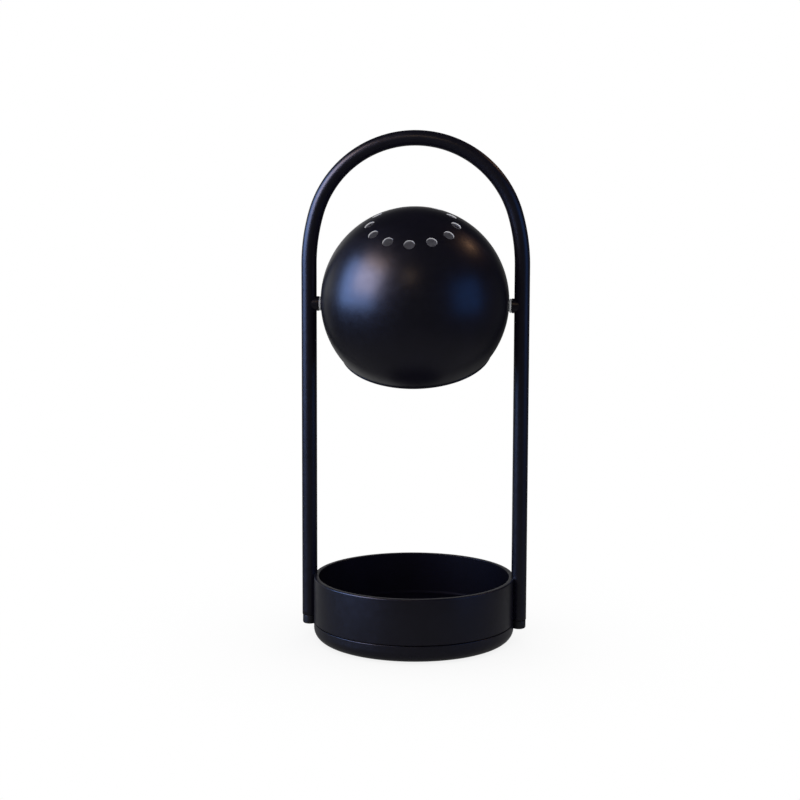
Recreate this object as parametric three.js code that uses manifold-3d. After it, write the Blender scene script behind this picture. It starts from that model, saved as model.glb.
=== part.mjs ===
// Portable table lamp: a ball shade tilts between the legs of a bent-tube arch, and the arch stands on a
// round base whose upper half is an open tray. The battery and the control board are in the lower half.
// Millimetres, +Z up, +X to the right, the front towards -Y. The origin is on the table, under the centre.
import * as THREE from "three";
import { mergeVertices } from "three/addons/utils/BufferGeometryUtils.js";
import Module from "manifold-3d";

const wasm = await Module();
wasm.setup();

// Driving dimensions of the arch
const TUBE_DIAMETER = 9.8;
const TUBE_WALL = 1.2;
const LEG_CENTRES = 136; // the ball and the base take their widths from it
const SPRING_HEIGHT = 242.7; // where the straight legs end
const SIDE_ARC_RADIUS = 118.6;
const SIDE_ARC_SWEEP = THREE.MathUtils.degToRad(16.23);

// Driving dimensions of the shade
const BALL_TO_LEG = 3.1; // between the ball and each leg's face
const SHELL_WALL = 1.2;
const SPRING_TO_PIVOT = 25; // the pivots lie this far under the end of the straight legs
const PIVOT_DROP = 2.8; // the pivots lie this far under the ball's centre, along the shade's axis
const SHADE_TILT = THREE.MathUtils.degToRad(22.5); // at rest the vents lean to the front
const OPENING_ANGLE = THREE.MathUtils.degToRad(53.2); // from the shade's axis, at the ball's centre
const VENT_DIAMETER = 7;
const VENT_COUNT = 12;
const VENT_ANGLE = THREE.MathUtils.degToRad(26.9);

// Driving dimensions of the base
const LEG_RECESS = 1.7; // how deep each leg sits in the base's wall
const RIM_HEIGHT = 41.6;
const SEAM_WIDTH = 0.5;
const BOTTOM_EDGE_RADIUS = 7.5;
const TRAY_WALL = 3.2;
const TRAY_FLOOR = 2;
const HOUSING_WALL = 2.2;
const FOOT_PROUD = 0.5; // how far the rubber ring stands out of the underside

// Driving dimensions of what sets the lower housing's height, from its floor upwards
const BOARD_STANDOFF = 1.4;
const BOARD_THICKNESS = 1.2;
const SOCKET_HEIGHT = 3.2;
const PORT_HEADROOM = 4.65; // from the middle of the ports to the housing's edge

// Clearances, shared by every piece
const SEAT_GAP = 0.3; // between two pieces that rest on each other
const RUNNING_GAP = 0.1; // round a shaft that turns in its bush
const THREAD_GAP = 0.15; // round a screw in its tapped hole
const OVERRUN = 2; // how far a cutting tool runs past what it cuts

// Facets
const BIG_SIDES = 36;
const TUBE_SIDES = 16;
const PIVOT_SIDES = 16;
const SMALL_SIDES = 12;
const SCREW_SIDES = 8;

const legX = LEG_CENTRES / 2;
const tubeRadius = TUBE_DIAMETER / 2;
const tubeBore = tubeRadius - TUBE_WALL;
const ballRadius = legX - tubeRadius - BALL_TO_LEG;
const shellInside = ballRadius - SHELL_WALL;
const pivotHeight = SPRING_HEIGHT - SPRING_TO_PIVOT;
const baseRadius = legX - tubeRadius + LEG_RECESS;
const housingInside = baseRadius - HOUSING_WALL;
const housingFloor = FOOT_PROUD + HOUSING_WALL;
const boardBottom = housingFloor + BOARD_STANDOFF;
const boardTop = boardBottom + BOARD_THICKNESS;
const portHeight = boardTop + SEAT_GAP + SOCKET_HEIGHT / 2; // middle of the button and of the socket
const housingTop = portHeight + PORT_HEADROOM;
const trayInside = baseRadius - TRAY_WALL;
const trayBottom = housingTop + SEAM_WIDTH;
const trayTop = trayBottom + TRAY_FLOOR;

// Materials
function finish(color, roughness, metalness) {
  return new THREE.MeshStandardMaterial({ color, roughness, metalness });
}
const blackCoat = finish("#1a1b20", 0.4, 0.3);
const blackPlastic = finish("#17181b", 0.55, 0);
const rubber = finish("#1c1c1c", 0.9, 0);
const steel = finish("#a9abae", 0.35, 1);
const darkSteel = finish("#3a3b3e", 0.45, 1);
const aluminium = finish("#c3c5c8", 0.4, 1);
const paleNylon = finish("#d8dadb", 0.5, 0);
const opal = finish("#f2f1ec", 0.35, 0);
const boardLacquer = finish("#1f5a3a", 0.5, 0);
const whiteLacquer = finish("#ece9df", 0.5, 0);
const phosphor = finish("#e3c65a", 0.6, 0);
const cellWrap = finish("#8c9096", 0.45, 0.2);
const cableSheath = finish("#e4e2dc", 0.6, 0);

// A closed mesh as a solid: doubled vertices are merged and faces that shrink to a line are dropped.
function solid(geometry) {
  const bare = geometry.clone();
  bare.deleteAttribute("normal");
  bare.deleteAttribute("uv");
  const merged = mergeVertices(bare);
  const corners = merged.index.array;
  const kept = [];
  for (let i = 0; i < corners.length; i += 3) {
    const [a, b, c] = corners.slice(i, i + 3);
    if (a !== b && b !== c && c !== a) kept.push(a, b, c);
  }
  const vertProperties = merged.attributes.position.array;
  return new wasm.Manifold(new wasm.Mesh({ numProp: 3, vertProperties, triVerts: new Uint32Array(kept) }));
}

function geometryOf(manifold) {
  const mesh = manifold.getMesh();
  const geometry = new THREE.BufferGeometry();
  geometry.setAttribute("position", new THREE.BufferAttribute(mesh.vertProperties, 3));
  geometry.setIndex(new THREE.BufferAttribute(mesh.triVerts, 1));
  return geometry;
}

function cut(body, tools) {
  return geometryOf(tools.reduce((rest, tool) => rest.subtract(solid(tool)), solid(body)));
}

function join(bodies) {
  return geometryOf(bodies.map(solid).reduce((whole, body) => whole.add(body)));
}

// Points [x, y] along an arc.
function arc(centreX, centreY, radius, start, end, steps) {
  return Array.from({ length: steps + 1 }, (_, i) => {
    const angle = start + ((end - start) * i) / steps;
    return [centreX + radius * Math.cos(angle), centreY + radius * Math.sin(angle)];
  });
}

// A piece turned about Z from [radius, height] points, which run up the outside and down the inside.
function turned(outline, sides) {
  const points = outline.map(([radius, height]) => new THREE.Vector2(radius, height));
  return new THREE.LatheGeometry(points, sides).rotateX(Math.PI / 2);
}

// A ring turned about Z: its outline closes on itself.
function turnedRing(outline, sides) {
  return turned([...outline, outline[0]], sides);
}

function ring(inner, outer, bottom, top, sides) {
  return turnedRing([[inner, bottom], [outer, bottom], [outer, top], [inner, top]], sides);
}

function rod(radius, bottom, top, sides) {
  const length = top - bottom;
  const bar = new THREE.CylinderGeometry(radius, radius, length, sides);
  return bar.rotateX(Math.PI / 2).translate(0, 0, bottom + length / 2);
}

function block(width, depth, height) {
  return new THREE.BoxGeometry(width, depth, height);
}

// Turns a piece made along +Z so that it points along +X or +Y.
function alongX(geometry) {
  return geometry.rotateY(Math.PI / 2);
}
function alongY(geometry) {
  return geometry.rotateX(-Math.PI / 2);
}

function shapeOf(points) {
  return new THREE.Shape(points.map(([x, y]) => new THREE.Vector2(x, y)));
}

function discShape(radius) {
  const shape = new THREE.Shape();
  shape.absarc(0, 0, radius, 0, Math.PI * 2);
  return shape;
}

function raised(shape, bottom, top) {
  const depth = top - bottom;
  return new THREE.ExtrudeGeometry(shape, { depth, bevelEnabled: false }).translate(0, 0, bottom);
}

// A centreline given by its stations, each with its own tangent, so that straight runs take one step.
class StationPath extends THREE.Curve {
  constructor(stations) {
    super();
    this.stations = stations;
  }
  station(share) {
    return this.stations[Math.round(share * (this.stations.length - 1))];
  }
  getPointAt(share) {
    return this.station(share).point.clone();
  }
  getTangentAt(share) {
    return this.station(share).tangent.clone();
  }
}

function swept(shape, stations, sides) {
  const extrudePath = new StationPath(stations);
  const steps = stations.length - 1;
  return new THREE.ExtrudeGeometry(shape, { extrudePath, steps, curveSegments: sides / 2 });
}

// Stations along straight runs between corners, with each corner rounded to one bend radius.
function routed(corners, bendRadius, bendSteps) {
  const points = corners.map((corner) => new THREE.Vector3(...corner));
  const headings = points.slice(1).map((point, i) => point.clone().sub(points[i]).normalize());
  const stations = [{ point: points[0], tangent: headings[0] }];
  for (let i = 1; i < points.length - 1; i += 1) {
    const before = headings[i - 1];
    const after = headings[i];
    const turn = before.angleTo(after);
    const side = after.clone().addScaledVector(before, -Math.cos(turn)).normalize();
    const start = points[i].clone().addScaledVector(before, -bendRadius * Math.tan(turn / 2));
    for (let step = 0; step <= bendSteps; step += 1) {
      const angle = (turn * step) / bendSteps;
      const point = start.clone();
      point.addScaledVector(before, bendRadius * Math.sin(angle));
      point.addScaledVector(side, bendRadius * (1 - Math.cos(angle)));
      const tangent = before.clone().multiplyScalar(Math.cos(angle));
      tangent.addScaledVector(side, Math.sin(angle));
      stations.push({ point, tangent });
    }
  }
  stations.push({ point: points.at(-1), tangent: headings.at(-1) });
  return stations;
}

// A screw made along +Z with its head's seat at zero: the shank points up and the head hangs below.
function screw(size) {
  const { headRadius, headHeight, shankRadius, shankLength } = size;
  return turned(
    [
      [0, -headHeight],
      [headRadius - headHeight / 3, -headHeight],
      [headRadius, 0],
      [shankRadius, 0],
      [shankRadius, shankLength],
      [0, shankLength],
    ],
    SCREW_SIDES,
  );
}

const lamp = new THREE.Group();
const stand = new THREE.Group();
const shade = new THREE.Group();
shade.position.z = pivotHeight;
shade.rotation.x = SHADE_TILT;
lamp.add(stand, shade);

function place(group, name, geometry, material) {
  const mesh = new THREE.Mesh(geometry, material);
  mesh.name = name;
  group.add(mesh);
  return mesh;
}

// The left piece of a pair is the right one turned half round about the lamp's axis.
const sides = [
  { name: "right", turn: 0 },
  { name: "left", turn: Math.PI },
];
function placePair(group, name, makeGeometry, material) {
  for (const side of sides) {
    const mesh = place(group, `${side.name}_${name}`, makeGeometry(side), material);
    mesh.rotation.z = side.turn;
  }
}

// Lead: it runs up the outer half of the left leg's bore and through the left pivot pin.
const LEAD_RADIUS = 0.85;
const LEAD_HOLE_RADIUS = 1.3;
const LEAD_OFFSET = 1.7;
const LEAD_DROP = 1.75; // under the housing's edge, where it crosses into the leg's plug
const LEAD_SIDES = 6;

const leadHeight = housingTop - LEAD_DROP;

// Pivots: sizes that the arch, the shade and the pivot's own pieces share, along X from the lamp's axis
const PIN_WALL = 1.2;
const PIN_HEAD_MARGIN = 0.7; // round the pin's head, in the leg's bore
const PIN_HEAD_THICKNESS = 1.3;
const BUSH_WALL = 1;
const BUSH_FLANGE_RADIUS = 4.5;
const BUSH_FLANGE_THICKNESS = 1;
const BOSS_RADIUS = 8;
const BOSS_DEPTH = 5.3; // from the ball's face to the boss's flat inner face
const EYE_THICKNESS = 1.5;
const WASHER_RADIUS = 4.9;
const WASHER_THICKNESS = 0.8;
const NUT_ACROSS_CORNERS = 9.2;
const NUT_THICKNESS = 3.2;
const NUT_SIDES = 6;
const PIN_END_PROUD = 0.5;
const SPACER_EDGE = 0.4;
const LEG_INSET = 0.2; // how much thinner than the leg a spacer is

const pinBore = LEAD_HOLE_RADIUS;
const pinRadius = pinBore + PIN_WALL;
const pinHeadRadius = tubeBore - PIN_HEAD_MARGIN;
const spacerRadius = tubeRadius - LEG_INSET;
const bossInside = ballRadius - BOSS_DEPTH;
const bushBore = pinRadius + RUNNING_GAP;
const bushRadius = bushBore + BUSH_WALL;
const pivotHole = bushRadius + SEAT_GAP;
const flangeInner = ballRadius + SEAT_GAP;
const flangeOuter = flangeInner + BUSH_FLANGE_THICKNESS;
const eyeOuter = bossInside - SEAT_GAP;
const eyeInner = eyeOuter - EYE_THICKNESS;
const washerInner = eyeInner - SEAT_GAP - WASHER_THICKNESS;
const nutOuter = washerInner - SEAT_GAP;
const nutInner = nutOuter - NUT_THICKNESS;
const pinEnd = nutInner - PIN_END_PROUD;
// The head's flat face meets the round bore of the leg along its two edges.
const pinHeadSeat = legX - Math.sqrt(tubeBore ** 2 - pinHeadRadius ** 2) + SEAT_GAP;

// Leg ends: the plug's head lies round the lead's crossing, and the tube rests on it
const PLUG_END_DROP = 1.9; // under the lead
const PLUG_HEAD_LENGTH = 5.5;
const PLUG_SPIGOT_LENGTH = 5.8;

const plugEndHeight = leadHeight - PLUG_END_DROP;
const plugHeadTop = plugEndHeight + PLUG_HEAD_LENGTH;
const spigotTop = plugHeadTop + PLUG_SPIGOT_LENGTH;
const tubeEndHeight = plugHeadTop + SEAT_GAP;

// Leg screws and their nut bars
const LEG_SCREW = { headRadius: 2.4, headHeight: 1.4, shankRadius: 1.4, shankLength: 6.6 };
const NUT_BAR_SIDE = 1.2; // beside the bar, in the leg's bore
const NUT_BAR_THICKNESS = 2.4;
const NUT_BAR_MARGIN = 4; // past the screws, at each end
// The height over the plug that the bar's end and the heads leave is shared out: under the bar, between the
// heads, and the rest over them.
const LEG_SCREW_SPARE_SHARES = [0.14, 0.28];

const headDiameter = LEG_SCREW.headRadius * 2;
const headsAndMargin = NUT_BAR_MARGIN + headDiameter + LEG_SCREW.headRadius;
const spareHeight = RIM_HEIGHT - spigotTop - headsAndMargin;
const firstScrewHeight = spigotTop + NUT_BAR_MARGIN + spareHeight * LEG_SCREW_SPARE_SHARES[0];
const secondScrewHeight = firstScrewHeight + headDiameter + spareHeight * LEG_SCREW_SPARE_SHARES[1];
const legScrewHeights = [firstScrewHeight, secondScrewHeight];

// Arch: one bent tube of three arcs between two straight legs, open at both ends
const SIDE_ARC_STEPS = 3;
const TOP_ARC_STEPS = 16;

function archStations() {
  // The top arc's centre is on the lamp's axis, and it meets the side arcs without a kink.
  const sideCentreX = legX - SIDE_ARC_RADIUS;
  const radiusDifference = -sideCentreX / Math.cos(SIDE_ARC_SWEEP);
  const topRadius = SIDE_ARC_RADIUS - radiusDifference;
  const topCentreZ = SPRING_HEIGHT + radiusDifference * Math.sin(SIDE_ARC_SWEEP);
  const sweep = SIDE_ARC_SWEEP;
  const runs = [
    [-sideCentreX, SPRING_HEIGHT, SIDE_ARC_RADIUS, Math.PI, Math.PI - sweep, SIDE_ARC_STEPS],
    [0, topCentreZ, topRadius, Math.PI - sweep, sweep, TOP_ARC_STEPS],
    [sideCentreX, SPRING_HEIGHT, SIDE_ARC_RADIUS, sweep, 0, SIDE_ARC_STEPS],
  ];
  const leftEnd = new THREE.Vector3(-legX, 0, tubeEndHeight);
  const rightEnd = new THREE.Vector3(legX, 0, tubeEndHeight);
  const stations = [{ point: leftEnd, tangent: new THREE.Vector3(0, 0, 1) }];
  runs.forEach(([x, z, radius, start, end, steps], run) => {
    for (let step = run === 0 ? 0 : 1; step <= steps; step += 1) {
      const angle = start + ((end - start) * step) / steps;
      const point = new THREE.Vector3(x + radius * Math.cos(angle), 0, z + radius * Math.sin(angle));
      const tangent = new THREE.Vector3(Math.sin(angle), 0, -Math.cos(angle));
      stations.push({ point, tangent });
    }
  });
  stations.push({ point: rightEnd, tangent: new THREE.Vector3(0, 0, -1) });
  return stations;
}

function archTube() {
  const section = discShape(tubeRadius);
  section.holes.push(discShape(tubeBore));
  const tools = [];
  for (const side of sides) {
    // Both holes go through the leg's inner wall only.
    const wallStart = legX - tubeRadius - OVERRUN;
    const pivot = alongX(rod(pinRadius + SEAT_GAP, wallStart, legX, PIVOT_SIDES));
    tools.push(pivot.translate(0, 0, pivotHeight).rotateZ(side.turn));
    for (const height of legScrewHeights) {
      const hole = alongX(rod(LEG_SCREW.shankRadius + SEAT_GAP, wallStart, legX, SCREW_SIDES));
      tools.push(hole.translate(0, 0, height).rotateZ(side.turn));
    }
  }
  return cut(swept(section, archStations(), TUBE_SIDES), tools);
}
place(stand, "arch_tube", archTube(), blackCoat);

// Leg plugs: a turned head closes each leg, and its spigot fits the bore
const PLUG_INSET = 0.3; // how much thinner than the leg its head is
const PLUG_EDGE_RADIUS = 1.2;
const PLUG_EDGE_STEPS = 3;

function legPlug(side) {
  const headRadius = tubeRadius - PLUG_INSET;
  const spigotRadius = tubeBore - SEAT_GAP;
  const edgeCentre = [headRadius - PLUG_EDGE_RADIUS, plugEndHeight + PLUG_EDGE_RADIUS];
  const body = turned(
    [
      [0, plugEndHeight],
      ...arc(...edgeCentre, PLUG_EDGE_RADIUS, -Math.PI / 2, 0, PLUG_EDGE_STEPS),
      [headRadius, plugHeadTop],
      [spigotRadius, plugHeadTop],
      [spigotRadius, spigotTop],
      [0, spigotTop],
    ],
    TUBE_SIDES,
  );
  const tools = [];
  if (side.name === "left") {
    // The lead enters from the housing and turns up into the leg.
    const upward = rod(LEAD_HOLE_RADIUS, leadHeight, spigotTop + OVERRUN, LEAD_SIDES);
    tools.push(upward.translate(LEAD_OFFSET, 0, 0));
    const inward = alongX(rod(LEAD_HOLE_RADIUS, -headRadius - OVERRUN, LEAD_OFFSET, LEAD_SIDES));
    tools.push(inward.translate(0, 0, leadHeight));
  }
  return cut(body, tools).translate(legX, 0, 0);
}
placePair(stand, "leg_plug", legPlug, blackPlastic);

// Tray: a cup with a flat rim, two grooves that the legs sit in, four screw bosses and a locating skirt
const RIM_OUTER_EDGE = 0.9;
const RIM_INNER_EDGE = 0.6;
const TRAY_LOWER_EDGE = 0.4;
const TRAY_INNER_FILLET = 2;
const EDGE_STEPS = 2;
const SKIRT_DEPTH = 0.9;
const SKIRT_THICKNESS = 1.5;
const BASE_SCREW = { headRadius: 2.8, headHeight: 1.2, shankRadius: 1.4, shankLength: 7.8 };
const BASE_SCREW_INSET = 15.2; // from the base's wall to each screw
const BASE_SCREW_ANGLES = [35, 145, 215, 325].map(THREE.MathUtils.degToRad);
const HOUSING_BOSS_RADIUS = 4.5;
const HOUSING_BOSS_HEIGHT = 1.5; // over the housing's floor
const HOUSING_BOSS_WEB = 0.9; // material left over the screw's head
const TRAY_BOSS_RADIUS = 4;

const legGroove = tubeRadius + SEAT_GAP;
const housingBossTop = housingFloor + HOUSING_BOSS_HEIGHT;
const trayBossBottom = housingBossTop + SEAT_GAP;
const screwSeat = housingBossTop - HOUSING_BOSS_WEB - SEAT_GAP;

// Puts one copy of a piece at each base screw.
function atBaseScrews(makePiece) {
  const radius = baseRadius - BASE_SCREW_INSET;
  return BASE_SCREW_ANGLES.map((angle) => makePiece().translate(radius, 0, 0).rotateZ(angle));
}

function legGrooves(bottom, top) {
  return sides.map((side) => {
    const groove = rod(legGroove, bottom, top, TUBE_SIDES);
    return groove.translate(legX, 0, 0).rotateZ(side.turn);
  });
}

function tray() {
  const rimOuter = [baseRadius - RIM_OUTER_EDGE, RIM_HEIGHT - RIM_OUTER_EDGE];
  const rimInner = [trayInside + RIM_INNER_EDGE, RIM_HEIGHT - RIM_INNER_EDGE];
  const fillet = [trayInside - TRAY_INNER_FILLET, trayTop + TRAY_INNER_FILLET];
  const skirtOuter = housingInside - SEAT_GAP;
  const skirtInner = skirtOuter - SKIRT_THICKNESS;
  const cup = turned(
    [
      [0, trayBottom],
      [skirtInner, trayBottom],
      [skirtInner, trayBottom - SKIRT_DEPTH],
      [skirtOuter, trayBottom - SKIRT_DEPTH],
      [skirtOuter, trayBottom],
      [baseRadius - TRAY_LOWER_EDGE, trayBottom],
      [baseRadius, trayBottom + TRAY_LOWER_EDGE],
      ...arc(...rimOuter, RIM_OUTER_EDGE, 0, Math.PI / 2, EDGE_STEPS),
      ...arc(...rimInner, RIM_INNER_EDGE, Math.PI / 2, Math.PI, EDGE_STEPS),
      ...arc(...fillet, TRAY_INNER_FILLET, 0, -Math.PI / 2, EDGE_STEPS),
      [0, trayTop],
    ],
    BIG_SIDES,
  );
  const floorMiddle = trayBottom + TRAY_FLOOR / 2;
  const bosses = atBaseScrews(() => rod(TRAY_BOSS_RADIUS, trayBossBottom, floorMiddle, SMALL_SIDES));
  const pilotTop = screwSeat + BASE_SCREW.shankLength + SEAT_GAP;
  const pilotRadius = BASE_SCREW.shankRadius + THREAD_GAP;
  const pilots = atBaseScrews(() => rod(pilotRadius, trayBossBottom - OVERRUN, pilotTop, SCREW_SIDES));
  const legHoles = sides.flatMap((side) =>
    legScrewHeights.map((height) => {
      const hole = rod(LEG_SCREW.shankRadius + SEAT_GAP, trayInside - OVERRUN, legX, SCREW_SIDES);
      return alongX(hole).translate(0, 0, height).rotateZ(side.turn);
    }),
  );
  const grooves = legGrooves(trayBottom - OVERRUN, RIM_HEIGHT + OVERRUN);
  return cut(join([cup, ...bosses]), [...grooves, ...pilots, ...legHoles]);
}
place(stand, "tray", tray(), blackCoat);

// Leg screws: from inside the tray, through its wall and the leg's wall, into a nut bar in the leg
const screwHeadSeat = trayInside - SEAT_GAP;
for (const side of sides) {
  legScrewHeights.forEach((height, i) => {
    const fastener = alongX(screw(LEG_SCREW)).translate(screwHeadSeat, 0, height);
    const mesh = place(stand, `${side.name}_leg_screw_${i + 1}`, fastener, darkSteel);
    mesh.rotation.z = side.turn;
  });
}

function nutBar() {
  const halfWidth = tubeBore - NUT_BAR_SIDE;
  const inner = legX - Math.sqrt(tubeBore ** 2 - halfWidth ** 2) + SEAT_GAP;
  const bottom = legScrewHeights[0] - NUT_BAR_MARGIN;
  const top = legScrewHeights.at(-1) + NUT_BAR_MARGIN;
  const bar = block(NUT_BAR_THICKNESS, halfWidth * 2, top - bottom);
  bar.translate(inner + NUT_BAR_THICKNESS / 2, 0, (bottom + top) / 2);
  const tapped = legScrewHeights.map((height) => {
    const hole = rod(LEG_SCREW.shankRadius + THREAD_GAP, inner - OVERRUN, legX + OVERRUN, SCREW_SIDES);
    return alongX(hole).translate(0, 0, height);
  });
  return cut(bar, tapped);
}
placePair(stand, "nut_bar", nutBar, steel);

// Lower housing: a shallow cup with a rounded lower edge, screw bosses, board posts and the port openings
const HOUSING_TOP_EDGE = 0.4;
const BOTTOM_EDGE_STEPS = 3;
const FOOT_INSET = 10.2; // from the base's wall
const FOOT_WIDTH = 10;
const FOOT_GROOVE_DEPTH = 1;
const BUTTON_RADIUS = 2.6;
const BUTTON_GUIDE_RADIUS = 3.9;
const BUTTON_GUIDE_LENGTH = 2; // inside the wall
const COLLAR_THICKNESS = 1;
const BUTTON_TRAVEL = 1;
const COLLAR_GAP = 0.6; // from the pressed button's collar to the board and the switch
const SOCKET_ANGLE = THREE.MathUtils.degToRad(22); // round the base from the button
const SOCKET_WIDTH = 9;
const SOCKET_DEPTH = 8.3;
const SOCKET_RECESS = 0.8; // its mouth lies this far inside the wall's outer face
const SOCKET_WALL = 0.35;
const SOCKET_MOUTH_DEPTH = 5.5;
const SLOT_END_STEPS = 3;
const BOARD_SCREW = { headRadius: 1.8, headHeight: 1.2, shankRadius: 0.9, shankLength: 2.6 };
const BOARD_DEPTH = 23.1;
const BOARD_HALF_ANGLE = THREE.MathUtils.degToRad(30);
const BOARD_SCREW_SIDE = 7.1; // from the board's side edge
const BOARD_SCREW_FRONT = 9; // from the board's front edge
const POST_RADIUS = 2.4;

const footOuter = baseRadius - FOOT_INSET;
const footInner = footOuter - FOOT_WIDTH;
const buttonGuideInside = housingInside - BUTTON_GUIDE_LENGTH;
const collarOuter = buttonGuideInside - SEAT_GAP;
const collarInner = collarOuter - COLLAR_THICKNESS;
const boardRadius = collarInner - BUTTON_TRAVEL - COLLAR_GAP;
const boardFront = boardRadius - BOARD_DEPTH;
const boardHalfWidth = boardRadius * Math.sin(BOARD_HALF_ANGLE);
const boardScrewX = boardHalfWidth - BOARD_SCREW_SIDE;
const boardScrewY = boardFront + BOARD_SCREW_FRONT;
const bottomEdgeX = baseRadius - BOTTOM_EDGE_RADIUS;
const bottomEdgeZ = FOOT_PROUD + BOTTOM_EDGE_RADIUS;

// A slot with round ends, made along +Z and centred on it.
function slotShape(width, height) {
  const shape = new THREE.Shape();
  const end = width / 2 - height / 2;
  shape.absarc(end, 0, height / 2, -Math.PI / 2, Math.PI / 2);
  shape.absarc(-end, 0, height / 2, Math.PI / 2, Math.PI * 1.5);
  return shape;
}

function slotBar(width, height, start, end) {
  const depth = end - start;
  const settings = { depth, bevelEnabled: false, curveSegments: SLOT_END_STEPS };
  const bar = new THREE.ExtrudeGeometry(slotShape(width, height), settings).translate(0, 0, start);
  return alongY(bar).translate(0, 0, portHeight);
}

function lowerHousing() {
  const innerEdgeRadius = BOTTOM_EDGE_RADIUS - HOUSING_WALL;
  const cup = turned(
    [
      [0, FOOT_PROUD],
      ...arc(bottomEdgeX, bottomEdgeZ, BOTTOM_EDGE_RADIUS, -Math.PI / 2, 0, BOTTOM_EDGE_STEPS),
      [baseRadius, housingTop - HOUSING_TOP_EDGE],
      [baseRadius - HOUSING_TOP_EDGE, housingTop],
      [housingInside, housingTop],
      ...arc(bottomEdgeX, bottomEdgeZ, innerEdgeRadius, 0, -Math.PI / 2, EDGE_STEPS),
      [0, housingFloor],
    ],
    BIG_SIDES,
  );
  const floorMiddle = FOOT_PROUD + HOUSING_WALL / 2;
  const bosses = atBaseScrews(() => rod(HOUSING_BOSS_RADIUS, floorMiddle, housingBossTop, SMALL_SIDES));
  const posts = [-boardScrewX, boardScrewX].map((x) =>
    rod(POST_RADIUS, floorMiddle, boardBottom - SEAT_GAP, SMALL_SIDES).translate(x, boardScrewY, 0),
  );
  const wallMiddle = housingInside + HOUSING_WALL / 2;
  const guide = alongY(rod(BUTTON_GUIDE_RADIUS, buttonGuideInside, wallMiddle, SMALL_SIDES));
  guide.translate(0, 0, portHeight);

  const footGroove = ring(
    footInner - SEAT_GAP,
    footOuter + SEAT_GAP,
    FOOT_PROUD - OVERRUN,
    FOOT_PROUD + FOOT_GROOVE_DEPTH,
    BIG_SIDES,
  );
  const headHoles = atBaseScrews(() =>
    rod(BASE_SCREW.headRadius + SEAT_GAP, FOOT_PROUD, screwSeat + SEAT_GAP, SMALL_SIDES),
  );
  const shankHoles = atBaseScrews(() =>
    rod(BASE_SCREW.shankRadius + SEAT_GAP, FOOT_PROUD, housingBossTop + OVERRUN, SCREW_SIDES),
  );
  const buttonHole = alongY(
    rod(BUTTON_RADIUS + SEAT_GAP, buttonGuideInside - OVERRUN, baseRadius + OVERRUN, SMALL_SIDES),
  );
  buttonHole.translate(0, 0, portHeight);
  const slotWidth = SOCKET_WIDTH + SEAT_GAP * 2;
  const slotHeight = SOCKET_HEIGHT + SEAT_GAP * 2;
  const socketSlot = slotBar(slotWidth, slotHeight, housingInside - OVERRUN, baseRadius + OVERRUN);
  socketSlot.rotateZ(SOCKET_ANGLE);
  const leadHole = alongX(rod(LEAD_HOLE_RADIUS, housingInside - OVERRUN, legX, LEAD_SIDES));
  leadHole.translate(0, 0, leadHeight).rotateZ(Math.PI);
  const pilots = [-boardScrewX, boardScrewX].map((x) => {
    const pilotBottom = boardTop + SEAT_GAP - BOARD_SCREW.shankLength - SEAT_GAP;
    const pilot = rod(BOARD_SCREW.shankRadius + THREAD_GAP, pilotBottom, boardBottom, SCREW_SIDES);
    return pilot.translate(x, boardScrewY, 0);
  });
  const grooves = legGrooves(plugEndHeight - SEAT_GAP, housingTop + OVERRUN);
  const openings = [footGroove, ...headHoles, ...shankHoles, buttonHole, socketSlot, leadHole, ...pilots];
  return cut(join([cup, ...bosses, ...posts, guide]), [...grooves, ...openings]);
}
place(stand, "lower_housing", lowerHousing(), blackCoat);

atBaseScrews(() => screw(BASE_SCREW).translate(0, 0, screwSeat)).forEach((fastener, i) => {
  place(stand, `base_screw_${i + 1}`, fastener, darkSteel);
});

// Foot: a flat rubber ring pressed into the groove of the underside, over the screw heads
const FOOT_EDGE = 0.3;

function footRing() {
  const top = FOOT_PROUD + FOOT_GROOVE_DEPTH - SEAT_GAP;
  return turnedRing(
    [
      [footInner, FOOT_EDGE],
      [footInner + FOOT_EDGE, 0],
      [footOuter - FOOT_EDGE, 0],
      [footOuter, FOOT_EDGE],
      [footOuter, top],
      [footInner, top],
    ],
    BIG_SIDES,
  );
}
place(stand, "foot_ring", footRing(), rubber);

// Ballast: a steel plate with a window for the battery and a notch for the board
const BALLAST_WALL_GAP = 6; // between the plate and the housing's wall
const BALLAST_THICKNESS = 5;
const BATTERY_LENGTH = 62;
const BATTERY_WIDTH = 42;
const BATTERY_THICKNESS = 5.4;
const BATTERY_EDGE = 1.8;
const BATTERY_Y = -4;
const BATTERY_CLEARANCE = 0.8;
const NOTCH_SIDE_MARGIN = 3.9; // beside the board
const NOTCH_FRONT_MARGIN = 3; // in front of the board

const ballastRadius = housingInside - BALLAST_WALL_GAP;
const ballastBottom = housingFloor + SEAT_GAP;

function ballastPlate() {
  const ballastTop = ballastBottom + BALLAST_THICKNESS;
  const middle = (ballastBottom + ballastTop) / 2;
  const toolHeight = BALLAST_THICKNESS + OVERRUN * 2;
  const windowLength = BATTERY_LENGTH + BATTERY_CLEARANCE * 2;
  const windowWidth = BATTERY_WIDTH + BATTERY_CLEARANCE * 2;
  const batteryWindow = block(windowLength, windowWidth, toolHeight).translate(0, BATTERY_Y, middle);
  const notchFront = boardFront - NOTCH_FRONT_MARGIN;
  const notch = block((boardHalfWidth + NOTCH_SIDE_MARGIN) * 2, ballastRadius, toolHeight);
  notch.translate(0, notchFront + ballastRadius / 2, middle);
  const bossHole = HOUSING_BOSS_RADIUS + SEAT_GAP;
  const holeTop = ballastTop + OVERRUN;
  const bossHoles = atBaseScrews(() => rod(bossHole, ballastBottom - OVERRUN, holeTop, SMALL_SIDES));
  const plate = rod(ballastRadius, ballastBottom, ballastTop, BIG_SIDES);
  return cut(plate, [batteryWindow, notch, ...bossHoles]);
}
place(stand, "ballast_plate", ballastPlate(), steel);

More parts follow.
